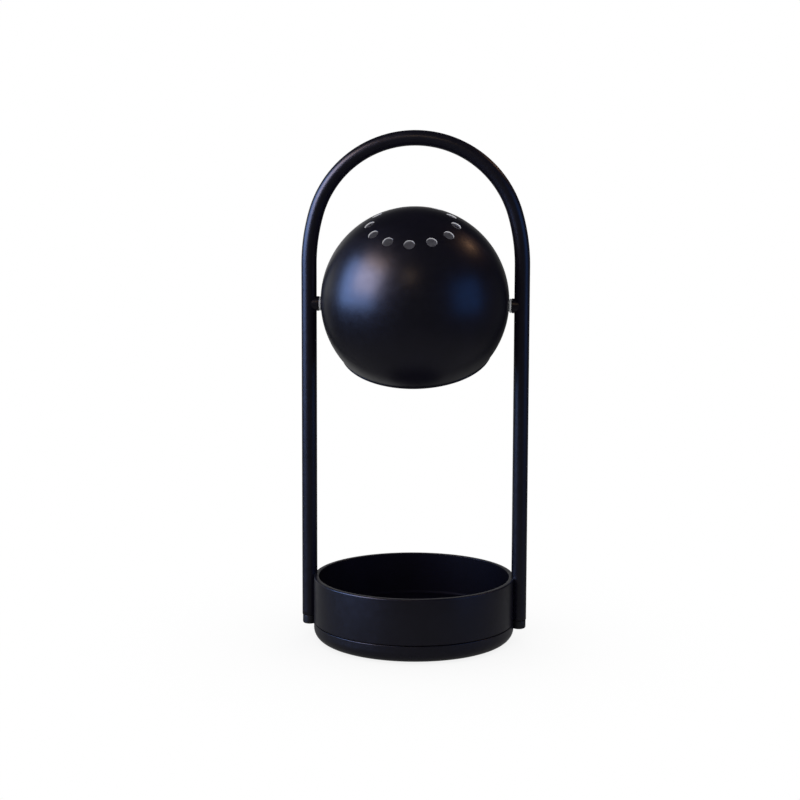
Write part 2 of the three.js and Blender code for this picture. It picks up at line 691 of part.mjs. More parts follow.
// Battery: a flat pouch cell with rounded long edges, lying in the ballast's window
const BATTERY_EDGE_STEPS = 3;

function batteryPack() {
  const x = BATTERY_WIDTH / 2 - BATTERY_EDGE;
  const y = BATTERY_THICKNESS / 2 - BATTERY_EDGE;
  const corners = [[x, y], [-x, y], [-x, -y], [x, -y]];
  const outline = corners.flatMap(([cornerX, cornerY], i) =>
    arc(cornerX, cornerY, BATTERY_EDGE, (i * Math.PI) / 2, ((i + 1) * Math.PI) / 2, BATTERY_EDGE_STEPS),
  );
  const cell = raised(shapeOf(outline), -BATTERY_LENGTH / 2, BATTERY_LENGTH / 2);
  cell.rotateX(Math.PI / 2).rotateZ(Math.PI / 2);
  return cell.translate(0, BATTERY_Y, ballastBottom + BATTERY_THICKNESS / 2);
}
place(stand, "battery_pack", batteryPack(), cellWrap);

// Control board: its rear edge follows the wall, and it carries the socket and the switch
const BOARD_ARC_STEPS = 8;
const SWITCH_WIDTH = 6;
const SWITCH_DEPTH = 5;
const SWITCH_HOLE_DEPTH = 3.2;
const STEM_RADIUS = 0.9;

function controlBoard() {
  const middle = Math.PI / 2;
  const rear = arc(0, 0, boardRadius, middle - BOARD_HALF_ANGLE, middle + BOARD_HALF_ANGLE, BOARD_ARC_STEPS);
  const outline = [...rear, [rear.at(-1)[0], boardFront], [rear[0][0], boardFront]];
  const board = raised(shapeOf(outline), boardBottom, boardTop);
  const holes = [-boardScrewX, boardScrewX].map((x) => {
    const holeRadius = BOARD_SCREW.shankRadius + SEAT_GAP;
    const hole = rod(holeRadius, boardBottom - OVERRUN, boardTop + OVERRUN, SCREW_SIDES);
    return hole.translate(x, boardScrewY, 0);
  });
  return cut(board, holes);
}
place(stand, "control_board", controlBoard(), boardLacquer);

[-boardScrewX, boardScrewX].forEach((x, i) => {
  const fastener = screw(BOARD_SCREW).rotateX(Math.PI);
  place(stand, `board_screw_${i + 1}`, fastener.translate(x, boardScrewY, boardTop + SEAT_GAP), darkSteel);
});

function chargingSocket() {
  const mouth = baseRadius - SOCKET_RECESS;
  const shell = slotBar(SOCKET_WIDTH, SOCKET_HEIGHT, mouth - SOCKET_DEPTH, mouth);
  const mouthWidth = SOCKET_WIDTH - SOCKET_WALL * 2;
  const mouthHeight = SOCKET_HEIGHT - SOCKET_WALL * 2;
  return cut(shell, [slotBar(mouthWidth, mouthHeight, mouth - SOCKET_MOUTH_DEPTH, mouth + OVERRUN)]);
}
place(stand, "charging_socket", chargingSocket(), steel).rotation.z = SOCKET_ANGLE;

function switchBody() {
  const body = block(SWITCH_WIDTH, SWITCH_DEPTH, SOCKET_HEIGHT);
  body.translate(0, boardRadius - SWITCH_DEPTH / 2, portHeight);
  const holeRadius = STEM_RADIUS + SEAT_GAP;
  const hole = alongY(rod(holeRadius, boardRadius - SWITCH_HOLE_DEPTH, boardRadius + OVERRUN, SCREW_SIDES));
  return cut(body, [hole.translate(0, 0, portHeight)]);
}
place(stand, "switch_body", switchBody(), blackPlastic);

// Power button: a cap in the rear wall, a collar that stops it inside, and a stem that presses the switch
const BUTTON_EDGE = 0.5;
const COLLAR_RADIUS = 3.2;
const STEM_LENGTH = 3.1;

function powerButton() {
  const button = turned(
    [
      [0, collarInner - STEM_LENGTH],
      [STEM_RADIUS, collarInner - STEM_LENGTH],
      [STEM_RADIUS, collarInner],
      [COLLAR_RADIUS, collarInner],
      [COLLAR_RADIUS, collarOuter],
      [BUTTON_RADIUS, collarOuter],
      [BUTTON_RADIUS, baseRadius - BUTTON_EDGE],
      [BUTTON_RADIUS - BUTTON_EDGE, baseRadius],
      [0, baseRadius],
    ],
    SMALL_SIDES,
  );
  return alongY(button).translate(0, 0, portHeight);
}
place(stand, "power_button", powerButton(), blackPlastic);

// Saddle spacers: the outer end is coped to lie round the leg, the inner end is a flat thrust face
function saddleSpacer() {
  const inner = flangeOuter + SEAT_GAP;
  const bore = pinRadius + SEAT_GAP;
  const sleeve = turnedRing(
    [
      [bore, inner],
      [spacerRadius - SPACER_EDGE, inner],
      [spacerRadius, inner + SPACER_EDGE],
      [spacerRadius, legX],
      [bore, legX],
    ],
    TUBE_SIDES,
  );
  const leg = rod(tubeRadius + SEAT_GAP, -ballRadius, ballRadius, TUBE_SIDES).translate(legX, 0, 0);
  return cut(alongX(sleeve), [leg]).translate(0, 0, pivotHeight);
}
placePair(stand, "saddle_spacer", saddleSpacer, blackCoat);

// Pivot pins: hollow, headed inside the leg and threaded at the inner end
function pivotPin() {
  const headEnd = pinHeadSeat + PIN_HEAD_THICKNESS;
  const pin = turnedRing(
    [
      [pinBore, pinEnd],
      [pinRadius, pinEnd],
      [pinRadius, pinHeadSeat],
      [pinHeadRadius, pinHeadSeat],
      [pinHeadRadius, headEnd],
      [pinBore, headEnd],
    ],
    PIVOT_SIDES,
  );
  return alongX(pin).translate(0, 0, pivotHeight);
}
placePair(stand, "pivot_pin", pivotPin, steel);

function frictionWasher() {
  const bore = pinRadius + THREAD_GAP;
  const washer = ring(bore, WASHER_RADIUS, washerInner, washerInner + WASHER_THICKNESS, PIVOT_SIDES);
  return alongX(washer).translate(0, 0, pivotHeight);
}
placePair(stand, "friction_washer", frictionWasher, steel);

function pivotNut() {
  const blank = rod(NUT_ACROSS_CORNERS / 2, nutInner, nutOuter, NUT_SIDES);
  const tapped = rod(pinRadius + THREAD_GAP, nutInner - OVERRUN, nutOuter + OVERRUN, PIVOT_SIDES);
  return alongX(cut(blank, [tapped])).translate(0, 0, pivotHeight);
}
placePair(stand, "pivot_nut", pivotNut, steel);

// Stand lead: from the board, over the ballast, up the left leg and into the left pivot pin
const LEAD_START_DEPTH = 3; // from the board's front edge
const LEAD_WALL_GAP = 6; // between its last turn and the housing's wall
const LEAD_BEND_RADIUS = 2;
const LEAD_BEND_STEPS = 4;

function standLead() {
  const legLine = -(legX + LEAD_OFFSET);
  const start = [-boardScrewX, boardFront + LEAD_START_DEPTH];
  const route = [
    [...start, boardTop + SEAT_GAP],
    [...start, leadHeight],
    [LEAD_WALL_GAP - housingInside, 0, leadHeight],
    [legLine, 0, leadHeight],
    [legLine, 0, pivotHeight],
    [-pinEnd, 0, pivotHeight],
  ];
  return swept(discShape(LEAD_RADIUS), routed(route, LEAD_BEND_RADIUS, LEAD_BEND_STEPS), LEAD_SIDES);
}
place(stand, "stand_lead", standLead(), cableSheath);

// Shade, in its own frame: the origin is on the pivot axis and +Z points to the vents

// Shade shell: a spun ball with a ring of vents round its pole and a rolled bead round its opening
const BEAD_RADIUS = 1.25;
const BEAD_STEPS = 6;
const OUTSIDE_STEPS = 12;
const INSIDE_STEPS = 9;

function shadeShell() {
  const middle = ballRadius - SHELL_WALL / 2;
  const beadX = middle * Math.sin(OPENING_ANGLE);
  const beadZ = PIVOT_DROP - middle * Math.cos(OPENING_ANGLE);
  // The bead meets both faces of the wall a little way back from the opening.
  const meeting = Math.sqrt(BEAD_RADIUS ** 2 - (SHELL_WALL / 2) ** 2);
  const shellEnd = OPENING_ANGLE + meeting / middle - Math.PI / 2;
  const meetingAngle = Math.atan2(SHELL_WALL / 2, meeting);
  const beadStart = OPENING_ANGLE + meetingAngle;
  const beadEnd = OPENING_ANGLE + Math.PI * 2 - meetingAngle;
  const bead = arc(beadX, beadZ, BEAD_RADIUS, beadStart, beadEnd, BEAD_STEPS);
  const inside = arc(0, PIVOT_DROP, shellInside, Math.PI / 2, shellEnd, INSIDE_STEPS);
  const outside = arc(0, PIVOT_DROP, ballRadius, shellEnd, Math.PI / 2, OUTSIDE_STEPS);
  const shell = turned([...inside, ...bead.slice(1, -1), ...outside], BIG_SIDES);
  const vents = Array.from({ length: VENT_COUNT }, (_, i) => {
    const vent = rod(VENT_DIAMETER / 2, shellInside - OVERRUN, ballRadius + OVERRUN, SMALL_SIDES);
    return vent.rotateX(VENT_ANGLE).rotateZ((Math.PI * 2 * i) / VENT_COUNT).translate(0, 0, PIVOT_DROP);
  });
  const pivots = sides.map((side) =>
    alongX(rod(pivotHole, bossInside, ballRadius + OVERRUN, PIVOT_SIDES)).rotateZ(side.turn),
  );
  return cut(shell, [...vents, ...pivots]);
}
place(shade, "shade_shell", shadeShell(), blackCoat);

// Pivot bosses: discs fixed inside the shell, flat inside and domed to the ball outside
const BOSS_STEPS = 3;

function pivotBoss() {
  const seat = shellInside - SEAT_GAP * 2;
  const dome = Array.from({ length: BOSS_STEPS + 1 }, (_, i) => {
    const radius = BOSS_RADIUS + ((pivotHole - BOSS_RADIUS) * i) / BOSS_STEPS;
    return [radius, Math.sqrt(seat ** 2 - (radius + PIVOT_DROP) ** 2)];
  });
  return alongX(turnedRing([[pivotHole, bossInside], [BOSS_RADIUS, bossInside], ...dome], TUBE_SIDES));
}
placePair(shade, "pivot_boss", pivotBoss, aluminium);

// Pivot bushes: pale flanged sleeves that turn with the shade on the pins
function pivotBush() {
  return alongX(
    turnedRing(
      [
        [bushBore, eyeInner],
        [bushRadius, eyeInner],
        [bushRadius, flangeInner],
        [BUSH_FLANGE_RADIUS, flangeInner],
        [BUSH_FLANGE_RADIUS, flangeOuter],
        [bushBore, flangeOuter],
      ],
      PIVOT_SIDES,
    ),
  );
}
placePair(shade, "pivot_bush", pivotBush, paleNylon);

// Lamp bracket: a bent strip with an eye on each bush, which carries the lamp unit under its flat middle
const BRACKET_WIDTH = 14;
const BRACKET_EYE_BOTTOM = -7;
const BRACKET_SHOULDER = 9;
const BRACKET_BEND_RADIUS = 4;
const BRACKET_BEND_STEPS = 3;
const BRACKET_FLAT_HALF = 26;
const BRACKET_UNDERSIDE = 20;
const SINK_SCREW = { headRadius: 2.6, headHeight: 1.8, shankRadius: 1.4, shankLength: 8 };
const SINK_SCREW_X = 5.5;

const bracketTop = BRACKET_UNDERSIDE + EYE_THICKNESS;

function lampBracket() {
  const eye = (eyeInner + eyeOuter) / 2;
  const level = BRACKET_UNDERSIDE + EYE_THICKNESS / 2;
  const half = [
    [-eye, 0, BRACKET_EYE_BOTTOM],
    [-eye, 0, BRACKET_SHOULDER],
    [-BRACKET_FLAT_HALF, 0, level],
  ];
  const corners = [...half, ...half.map(([x, y, z]) => [-x, y, z]).reverse()];
  const section = shapeOf([
    [-BRACKET_WIDTH / 2, -EYE_THICKNESS / 2],
    [BRACKET_WIDTH / 2, -EYE_THICKNESS / 2],
    [BRACKET_WIDTH / 2, EYE_THICKNESS / 2],
    [-BRACKET_WIDTH / 2, EYE_THICKNESS / 2],
  ]);
  const strip = swept(section, routed(corners, BRACKET_BEND_RADIUS, BRACKET_BEND_STEPS), SMALL_SIDES);
  const eyes = sides.map((side) =>
    alongX(rod(pivotHole, eyeInner - OVERRUN, eyeOuter + OVERRUN, PIVOT_SIDES)).rotateZ(side.turn),
  );
  const screwHoles = [-SINK_SCREW_X, SINK_SCREW_X].map((x) => {
    const holeRadius = SINK_SCREW.shankRadius + SEAT_GAP;
    const hole = rod(holeRadius, BRACKET_UNDERSIDE - OVERRUN, bracketTop + OVERRUN, SCREW_SIDES);
    return hole.translate(x, 0, 0);
  });
  return cut(strip, [...eyes, ...screwHoles]);
}
place(shade, "lamp_bracket", lampBracket(), steel);

[-SINK_SCREW_X, SINK_SCREW_X].forEach((x, i) => {
  const fastener = screw(SINK_SCREW).rotateX(Math.PI).translate(x, 0, bracketTop + SEAT_GAP);
  place(shade, `sink_screw_${i + 1}`, fastener, darkSteel);
});

// Heat sink: a round plate with radial fins round a core
const SINK_RADIUS = 25.5;
const SINK_HEIGHT = 11;
const SINK_PLATE = 2.5;
const SINK_CORE_RADIUS = 9;
const FIN_COUNT = 14;
const FIN_THICKNESS = 1.6;
const LENS_SCREW = { headRadius: 2, headHeight: 1.3, shankRadius: 1, shankLength: 5.8 };
const LENS_SCREW_CIRCLE = 22.8; // radius of the circle that the three screws lie on
const LENS_SCREW_COUNT = 3;
const SHADE_LEAD_X = -14.5; // where the lead goes down between two fins

const sinkTop = BRACKET_UNDERSIDE - SEAT_GAP;
const sinkBottom = sinkTop - SINK_HEIGHT;
const sinkPlateTop = sinkBottom + SINK_PLATE;

function atLensScrews(makePiece) {
  return Array.from({ length: LENS_SCREW_COUNT }, (_, i) =>
    makePiece().translate(LENS_SCREW_CIRCLE, 0, 0).rotateZ((Math.PI * 2 * i) / LENS_SCREW_COUNT),
  );
}

function polar(radius, angle) {
  return [radius * Math.cos(angle), radius * Math.sin(angle)];
}

function heatSink() {
  const coreHalf = Math.asin(FIN_THICKNESS / 2 / SINK_CORE_RADIUS);
  const tipHalf = Math.asin(FIN_THICKNESS / 2 / SINK_RADIUS);
  const outline = Array.from({ length: FIN_COUNT }, (_, i) => {
    const middle = (Math.PI * 2 * (i + 0.5)) / FIN_COUNT;
    return [
      polar(SINK_CORE_RADIUS, middle - coreHalf),
      polar(SINK_RADIUS, middle - tipHalf),
      polar(SINK_RADIUS, middle + tipHalf),
      polar(SINK_CORE_RADIUS, middle + coreHalf),
    ];
  }).flat();
  const fins = raised(shapeOf(outline), sinkBottom + SINK_PLATE / 2, sinkTop);
  const plate = rod(SINK_RADIUS, sinkBottom, sinkPlateTop, BIG_SIDES / 2);
  const lensPilot = LENS_SCREW.shankRadius + THREAD_GAP;
  const plateTop = sinkPlateTop + OVERRUN;
  const lensPilots = atLensScrews(() => rod(lensPilot, sinkBottom - OVERRUN, plateTop, SCREW_SIDES));
  const pilotBottom = bracketTop - SINK_SCREW.shankLength;
  const topPilot = SINK_SCREW.shankRadius + THREAD_GAP;
  const topPilots = [-SINK_SCREW_X, SINK_SCREW_X].map((x) =>
    rod(topPilot, pilotBottom, sinkTop + OVERRUN, SCREW_SIDES).translate(x, 0, 0),
  );
  const leadHole = rod(LEAD_HOLE_RADIUS, sinkBottom - OVERRUN, plateTop, LEAD_SIDES);
  leadHole.translate(SHADE_LEAD_X, 0, 0);
  return cut(join([plate, fins]), [...lensPilots, ...topPilots, leadHole]);
}
place(shade, "heat_sink", heatSink(), aluminium);

// Light source: a round metal-cored board and its light-emitting disc, facing down
const LED_boardRadius = 16.5;
const LED_BOARD_THICKNESS = 1.6;
const EMITTER_RADIUS = 8;
const EMITTER_THICKNESS = 0.8;

const ledBoardTop = sinkBottom - SEAT_GAP;
const ledBoardBottom = ledBoardTop - LED_BOARD_THICKNESS;
const emitterTop = ledBoardBottom - SEAT_GAP;
place(shade, "led_board", rod(LED_boardRadius, ledBoardBottom, ledBoardTop, BIG_SIDES / 2), whiteLacquer);
const emitter = rod(EMITTER_RADIUS, emitterTop - EMITTER_THICKNESS, emitterTop, TUBE_SIDES);
place(shade, "led_emitter", emitter, phosphor);

// Lens: an opal dome with a flange, held against the heat sink by a ring with three screws
const LENS_WALL = 1.5;
const LENS_RADIUS = 18.5;
const LENS_DEPTH = 16;
const LENS_FLANGE_RADIUS = 20;
const LENS_STEPS = 5;
const LENS_RING_LIP = 1.7;
const LENS_RING_EDGE = 0.5;

const lensTop = sinkBottom - SEAT_GAP;
const lensFlangeBottom = lensTop - LENS_WALL;

// Points of a quarter ellipse under the flange, from the axis out to the rim.
function lensCurve(radius, depth) {
  return Array.from({ length: LENS_STEPS + 1 }, (_, i) => {
    const angle = (Math.PI / 2) * (i / LENS_STEPS);
    return [radius * Math.sin(angle), lensFlangeBottom - depth * Math.cos(angle)];
  });
}

function opalLens() {
  return turned(
    [
      ...lensCurve(LENS_RADIUS, LENS_DEPTH),
      [LENS_FLANGE_RADIUS, lensFlangeBottom],
      [LENS_FLANGE_RADIUS, lensTop],
      [LENS_RADIUS - LENS_WALL, lensTop],
      ...lensCurve(LENS_RADIUS - LENS_WALL, LENS_DEPTH - LENS_WALL).reverse(),
    ],
    BIG_SIDES / 2,
  );
}
place(shade, "opal_lens", opalLens(), opal);

const lipTop = lensFlangeBottom - SEAT_GAP;
const lensRingBottom = lipTop - LENS_RING_LIP;

function lensRing() {
  const inner = LENS_RADIUS + SEAT_GAP;
  const recess = LENS_FLANGE_RADIUS + SEAT_GAP;
  const outer = SINK_RADIUS - SEAT_GAP;
  const blank = turnedRing(
    [
      [inner, lensRingBottom],
      [outer - LENS_RING_EDGE, lensRingBottom],
      [outer, lensRingBottom + LENS_RING_EDGE],
      [outer, lensTop],
      [recess, lensTop],
      [recess, lipTop],
      [inner, lipTop],
    ],
    BIG_SIDES / 2,
  );
  const screwHole = LENS_SCREW.shankRadius + SEAT_GAP;
  const holeTop = lensTop + OVERRUN;
  return cut(blank, atLensScrews(() => rod(screwHole, lensRingBottom - OVERRUN, holeTop, SCREW_SIDES)));
}
place(shade, "lens_ring", lensRing(), whiteLacquer);

atLensScrews(() => screw(LENS_SCREW).translate(0, 0, lensRingBottom - SEAT_GAP)).forEach((fastener, i) => {
  place(shade, `lens_screw_${i + 1}`, fastener, steel);
});

// Shade lead: from the left pin, over the pivot's nut and down between two fins to the board
const SHADE_LEAD_OUT = 7.8; // straight out of the pin
const SHADE_LEAD_SLANT = 6;
const SHADE_LEAD_DROP = 4.7; // under the fins' upper edges
const SHADE_LEAD_BEND = 3;

function shadeLead() {
  const riseStart = SHADE_LEAD_OUT - pinEnd;
  const top = sinkTop - SHADE_LEAD_DROP;
  const route = [
    [SEAT_GAP - pinEnd, 0, 0],
    [riseStart, 0, 0],
    [riseStart + SHADE_LEAD_SLANT, 0, top],
    [SHADE_LEAD_X, 0, top],
    [SHADE_LEAD_X, 0, sinkBottom],
  ];
  return swept(discShape(LEAD_RADIUS), routed(route, SHADE_LEAD_BEND, LEAD_BEND_STEPS), LEAD_SIDES);
}
place(shade, "shade_lead", shadeLead(), cableSheath);

export default lamp;
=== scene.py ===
"""Portable table lamp: a ball shade that tilts in a bent-tube arch on a round tray base.

Sizes are in millimetres and are turned to metres when a mesh is made. X runs along the shade's pivots,
the front is towards -Y, and Z is up from the table. The sections follow the lamp as it is put together.
"""

import math

import bmesh
import bpy
import numpy as np
from mathutils import Matrix, Vector


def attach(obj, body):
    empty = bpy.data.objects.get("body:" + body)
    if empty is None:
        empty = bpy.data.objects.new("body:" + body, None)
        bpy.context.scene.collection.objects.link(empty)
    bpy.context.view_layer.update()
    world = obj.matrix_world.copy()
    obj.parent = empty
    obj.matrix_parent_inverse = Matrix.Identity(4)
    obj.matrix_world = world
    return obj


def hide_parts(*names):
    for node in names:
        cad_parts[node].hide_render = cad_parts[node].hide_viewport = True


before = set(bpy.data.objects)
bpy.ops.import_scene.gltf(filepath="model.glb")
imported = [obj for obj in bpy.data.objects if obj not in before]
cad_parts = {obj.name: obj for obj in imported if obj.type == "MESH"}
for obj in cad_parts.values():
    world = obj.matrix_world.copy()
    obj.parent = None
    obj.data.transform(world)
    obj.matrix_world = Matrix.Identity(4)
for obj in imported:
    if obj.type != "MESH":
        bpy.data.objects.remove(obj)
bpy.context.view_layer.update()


# ---- Arch
# One length of steel tube, bent in three arcs between two straight legs and powder coated in satin black.
# Its inner wall is drilled for the pivots and for the screws that hold the legs to the tray.
TUBE_RADIUS = 4.9
TUBE_BORE = 3.7
TUBE_EDGE = 0.25
TUBE_END = 14.0
TUBE_SIDES = 56
LEG_X = 68.0
SPRING_HEIGHT = 242.7
SIDE_ARC_RADIUS = 118.6
SIDE_ARC_SWEEP = math.radians(16.23)
PIVOT_HEIGHT = 217.7
PIN_HOLE = 2.8
LEG_SCREW_HEIGHTS = (25.03, 32.88)
SCREW_HOLE = 1.7
DRILL_SIDES = 48
OVERRUN = 2.0  # how far a cutting tool runs past what it cuts
COAT_BLACK = "#07060f"
COAT_GREY = "#0c0a17"


def linear(colour):
    """The linear RGBA of an sRGB hex colour, by the standard's curve: a power of 2.4 with a straight foot."""
    share = np.array([int(colour[i : i + 2], 16) for i in (1, 3, 5)]) / 255
    light = np.where(share <= 0.04045, share / 12.92, ((share + 0.055) / 1.055) ** 2.4)
    return (*light.tolist(), 1.0)


def add_node(material, kind, settings=None, links=None):
    """Adds a shader node. Each setting goes to the input of that name or number, or else to the property of
    that name. Each link comes from the output that is given, or from the given node's first output."""
    node = material.node_tree.nodes.new("ShaderNode" + kind)
    for key, value in (settings or {}).items():
        if isinstance(key, int) or key in node.inputs:
            node.inputs[key].default_value = value
        else:
            setattr(node, key, value)
    for key, source in (links or {}).items():
        output = source.outputs[0] if isinstance(source, bpy.types.Node) else source
        material.node_tree.links.new(output, node.inputs[key])
    return node


def grained(name, colours, roughness, grain, relief, metallic=0.0, clouds=14.0, more=None):
    """A finish that varies a little. Two colours blend in clouds that many mm across, the roughness goes
    between two values in clouds a third as wide, and a grain that many mm across stands relief mm high as
    bump. A real grain too fine to show is drawn 0.25 mm across or more. What is the same all over, such as
    a coat's sheen, comes from more."""
    material = bpy.data.materials.new(name)
    material.use_nodes = True
    material.node_tree.nodes.clear()
    place = add_node(material, "TexCoord").outputs["Object"]
    cloud, smear, fine = (
        add_node(material, "TexNoise", {"Scale": scale, "Detail": detail}, {"Vector": place})
        for scale, detail in ((1000 / clouds, 3.0), (3000 / clouds, 4.0), (1000 / grain, 2.0))
    )
    tones = {"data_type": "RGBA", 6: linear(colours[0]), 7: linear(colours[1])}
    span = {"From Min": 0.3, "From Max": 0.7, "To Min": roughness[0], "To Max": roughness[1]}
    blend = add_node(material, "Mix", tones, {0: cloud})
    gloss = add_node(material, "MapRange", span, {"Value": smear})
    bump = add_node(material, "Bump", {"Distance": relief / 1000}, {"Height": fine})
    shader = add_node(
        material,
        "BsdfPrincipled",
        {"Metallic": metallic, **(more or {})},
        {"Base Color": blend.outputs[2], "Roughness": gloss, "Normal": bump},
    )
    add_node(material, "OutputMaterial", None, {"Surface": shader})
    return material


def powder_coat(name, roughness=(0.30, 0.36), gloss=0.3):
    """Polyester powder coat, baked on: satin black with a faint blue cast and a fine orange peel."""
    more = {"Specular IOR Level": gloss}
    return grained(name, (COAT_BLACK, COAT_GREY), roughness, grain=0.9, relief=0.003, more=more)


def mesh_piece(name, points, faces, materials, sharp=35.0, material_of_face=None):
    """A piece from points in mm and faces. Points that coincide are merged, the faces point outwards, and an
    edge stays sharp where its faces meet at more than sharp degrees."""
    mesh = bpy.data.meshes.new(name)
    mesh.from_pydata((np.asarray(points, float).reshape(-1, 3) / 1000).tolist(), [], faces)
    for material in materials:
        mesh.materials.append(material)
    if material_of_face is not None:
        mesh.polygons.foreach_set("material_index", material_of_face)
    shape = bmesh.new()
    shape.from_mesh(mesh)
    bmesh.ops.remove_doubles(shape, verts=shape.verts, dist=2e-7)
    bmesh.ops.dissolve_degenerate(shape, edges=shape.edges, dist=1e-8)
    bmesh.ops.recalc_face_normals(shape, faces=shape.faces)
    shape.to_mesh(mesh)
    shape.free()
    mesh.shade_smooth()
    mesh.set_sharp_from_angle(angle=math.radians(sharp))
    piece = bpy.data.objects.new(name, mesh)
    bpy.context.scene.collection.objects.link(piece)
    return piece


def grid_faces(rows, columns, first=0, closed_rows=False, closed_columns=True):
    """Quads between neighbours of a grid of points, with the last joined to the first where closed."""
    i = np.arange(rows if closed_rows else rows - 1)[:, None]
    j = np.arange(columns if closed_columns else columns - 1)[None, :]
    below, beside = (i + 1) % rows, (j + 1) % columns
    corners = [i * columns + j, i * columns + beside, below * columns + beside, below * columns + j]
    return (np.stack(np.broadcast_arrays(*corners), -1).reshape(-1, 4) + first).tolist()


def grid_piece(name, grid, materials, sharp=35.0, closed=False):
    """A piece from a grid of points whose columns go round, and whose rows do too where it is closed."""
    return mesh_piece(name, grid, grid_faces(*grid.shape[:2], closed_rows=closed), materials, sharp)


def fitted(piece, body, slot, *nodes):
    """The piece rides on a body and stands for CAD nodes, which it hides. The slot is not used."""
    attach(piece, body)
    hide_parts(*nodes)
    return piece


def unit(vectors):
    """Each vector over its own length."""
    return vectors / np.linalg.norm(vectors, axis=-1, keepdims=True)


def rings(centres, across, aside, radius, sides):
    """A row of points round each centre: the radius times the angle's cosine along the unit vector across,
    plus the radius times its sine along the unit vector aside."""
    angle = np.linspace(0, 2 * np.pi, sides, endpoint=False)[None, :, None]
    across, aside = np.atleast_2d(across)[:, None], np.atleast_2d(aside)[:, None]
    return centres[:, None] + radius * (np.cos(angle) * across + np.sin(angle) * aside)


def capped(rows, first, last):
    """Rows of points between two more, which close the ends at a point each, or along a line of points."""
    first, last = (np.broadcast_to(end, rows[:1].shape) for end in (first, last))
    return np.concatenate([first, rows, last])


def cut_by(piece, tool):
    """Cuts a closed tool out of a piece, applies the cut and removes the tool."""
    cut = piece.modifiers.new("cut", "BOOLEAN")
    cut.operation = "DIFFERENCE"
    cut.solver = "EXACT"
    cut.object = tool
    graph = bpy.context.evaluated_depsgraph_get()
    mesh = bpy.data.meshes.new_from_object(piece.evaluated_get(graph))
    piece.modifiers.clear()
    piece.data = mesh
    bpy.data.objects.remove(tool)
    return piece


def drilled(piece, holes):
    """Cuts round holes out of a piece, each given by where it starts, where it ends and its radius."""
    for start, end, radius in holes:
        ends = np.array([start, end], float)
        along = unit(ends[1] - ends[0])
        side = unit(np.cross(along, (0.0, 0.0, 1.0) if abs(along[2]) < 0.9 else (1.0, 0.0, 0.0)))
        rod = rings(ends, side, np.cross(along, side), radius, DRILL_SIDES)
        cut_by(piece, grid_piece("drill", capped(rod, *ends), []))
    return piece


def arch_line():
    """Points along the arch from the left leg's end to the right one's, and the unit vector across the tube
    at each: straight, a wide arc, the round top, a wide arc, straight. A wide arc's centre lies past the
    lamp's axis. The top's centre is where the line from that centre to the arc's end crosses the axis."""
    centre_x = SIDE_ARC_RADIUS - LEG_X
    between = centre_x / math.cos(SIDE_ARC_SWEEP)
    top_radius = SIDE_ARC_RADIUS - between
    top_height = SPRING_HEIGHT + between * math.sin(SIDE_ARC_SWEEP)
    leg = np.linspace(TUBE_END, SPRING_HEIGHT, 72, endpoint=False)
    wide = np.linspace(math.pi, math.pi - SIDE_ARC_SWEEP, 16, endpoint=False)
    top = np.linspace(math.pi - SIDE_ARC_SWEEP, math.pi / 2, 64)
    wide_x, wide_z = centre_x + SIDE_ARC_RADIUS * np.cos(wide), SPRING_HEIGHT + SIDE_ARC_RADIUS * np.sin(wide)
    x = np.concatenate([np.full_like(leg, -LEG_X), wide_x, top_radius * np.cos(top)])
    z = np.concatenate([leg, wide_z, top_height + top_radius * np.sin(top)])
    slope = np.concatenate([np.full_like(leg, math.pi / 2), wide - math.pi / 2, top - math.pi / 2])
    # The right half mirrors the left one.
    halves = ((x, -1), (z, 1), (slope, -1))
    x, z, slope = (np.concatenate([half, sign * half[-2::-1]]) for half, sign in halves)
    flat = np.zeros_like(x)
    return np.stack([x, flat, z], -1), np.stack([-np.sin(slope), flat, np.cos(slope)], -1)


def arch_points():
    """The tube's skin: outside from one end to the other, over the end's edge, and back along the bore."""
    line, across = arch_line()
    ends, turns, aside = line[[0, -1]], across[[0, -1]], (0.0, 1.0, 0.0)
    line[[0, -1], 2] += TUBE_EDGE
    outer = rings(line, across, aside, TUBE_RADIUS, TUBE_SIDES)
    bore = rings(line, across, aside, TUBE_BORE, TUBE_SIDES)
    edges = rings(ends, turns, aside, TUBE_RADIUS - TUBE_EDGE, TUBE_SIDES)
    mouths = rings(ends, turns, aside, TUBE_BORE, TUBE_SIDES)
    return np.concatenate([edges[:1], outer, edges[1:], mouths[1:], bore[::-1], mouths[:1]])


coat = powder_coat("steel, black powder coat")
arch = grid_piece("arch", arch_points(), [coat], sharp=50, closed=True)
hole_at = {PIVOT_HEIGHT: PIN_HOLE} | dict.fromkeys(LEG_SCREW_HEIGHTS, SCREW_HOLE)
arch_holes = [
    ((side * (LEG_X - TUBE_RADIUS - OVERRUN), 0, height), (side * LEG_X, 0, height), radius)
    for side in (-1, 1)
    for height, radius in hole_at.items()
]
fitted(drilled(arch, arch_holes), "stand", "black_coat", "arch_tube")


# ---- Leg plugs
# Black nylon plugs, moulded and pressed into the ends of the tube. Only the round-edged head shows. The
# stand's lead goes in through the left one.
PLUG_END = 8.2
PLUG_HEAD_TOP = 13.7
PLUG_RADIUS = 4.6
PLUG_EDGE = 1.2
PLUG_SPIGOT_RADIUS = 3.4
PLUG_SPIGOT_TOP = 19.5
LEAD_HOLE = 1.3
LEAD_X = -LEG_X - 1.7
LEAD_LEVEL = 10.1


def corner_arc(before, here, after, radius):
    """The arc that touches both straight sides of a corner: its centre, start and end, and half the corner's
    angle. The centre lies the radius over that angle's sine away, the ends the radius over its tangent."""
    back, ahead = unit(before - here), unit(after - here)
    half = math.acos(np.clip(back @ ahead, -1, 1)) / 2
    centre = here + unit(back + ahead) * radius / math.sin(half)
    return centre, here + back * radius / math.tan(half), here + ahead * radius / math.tan(half), half


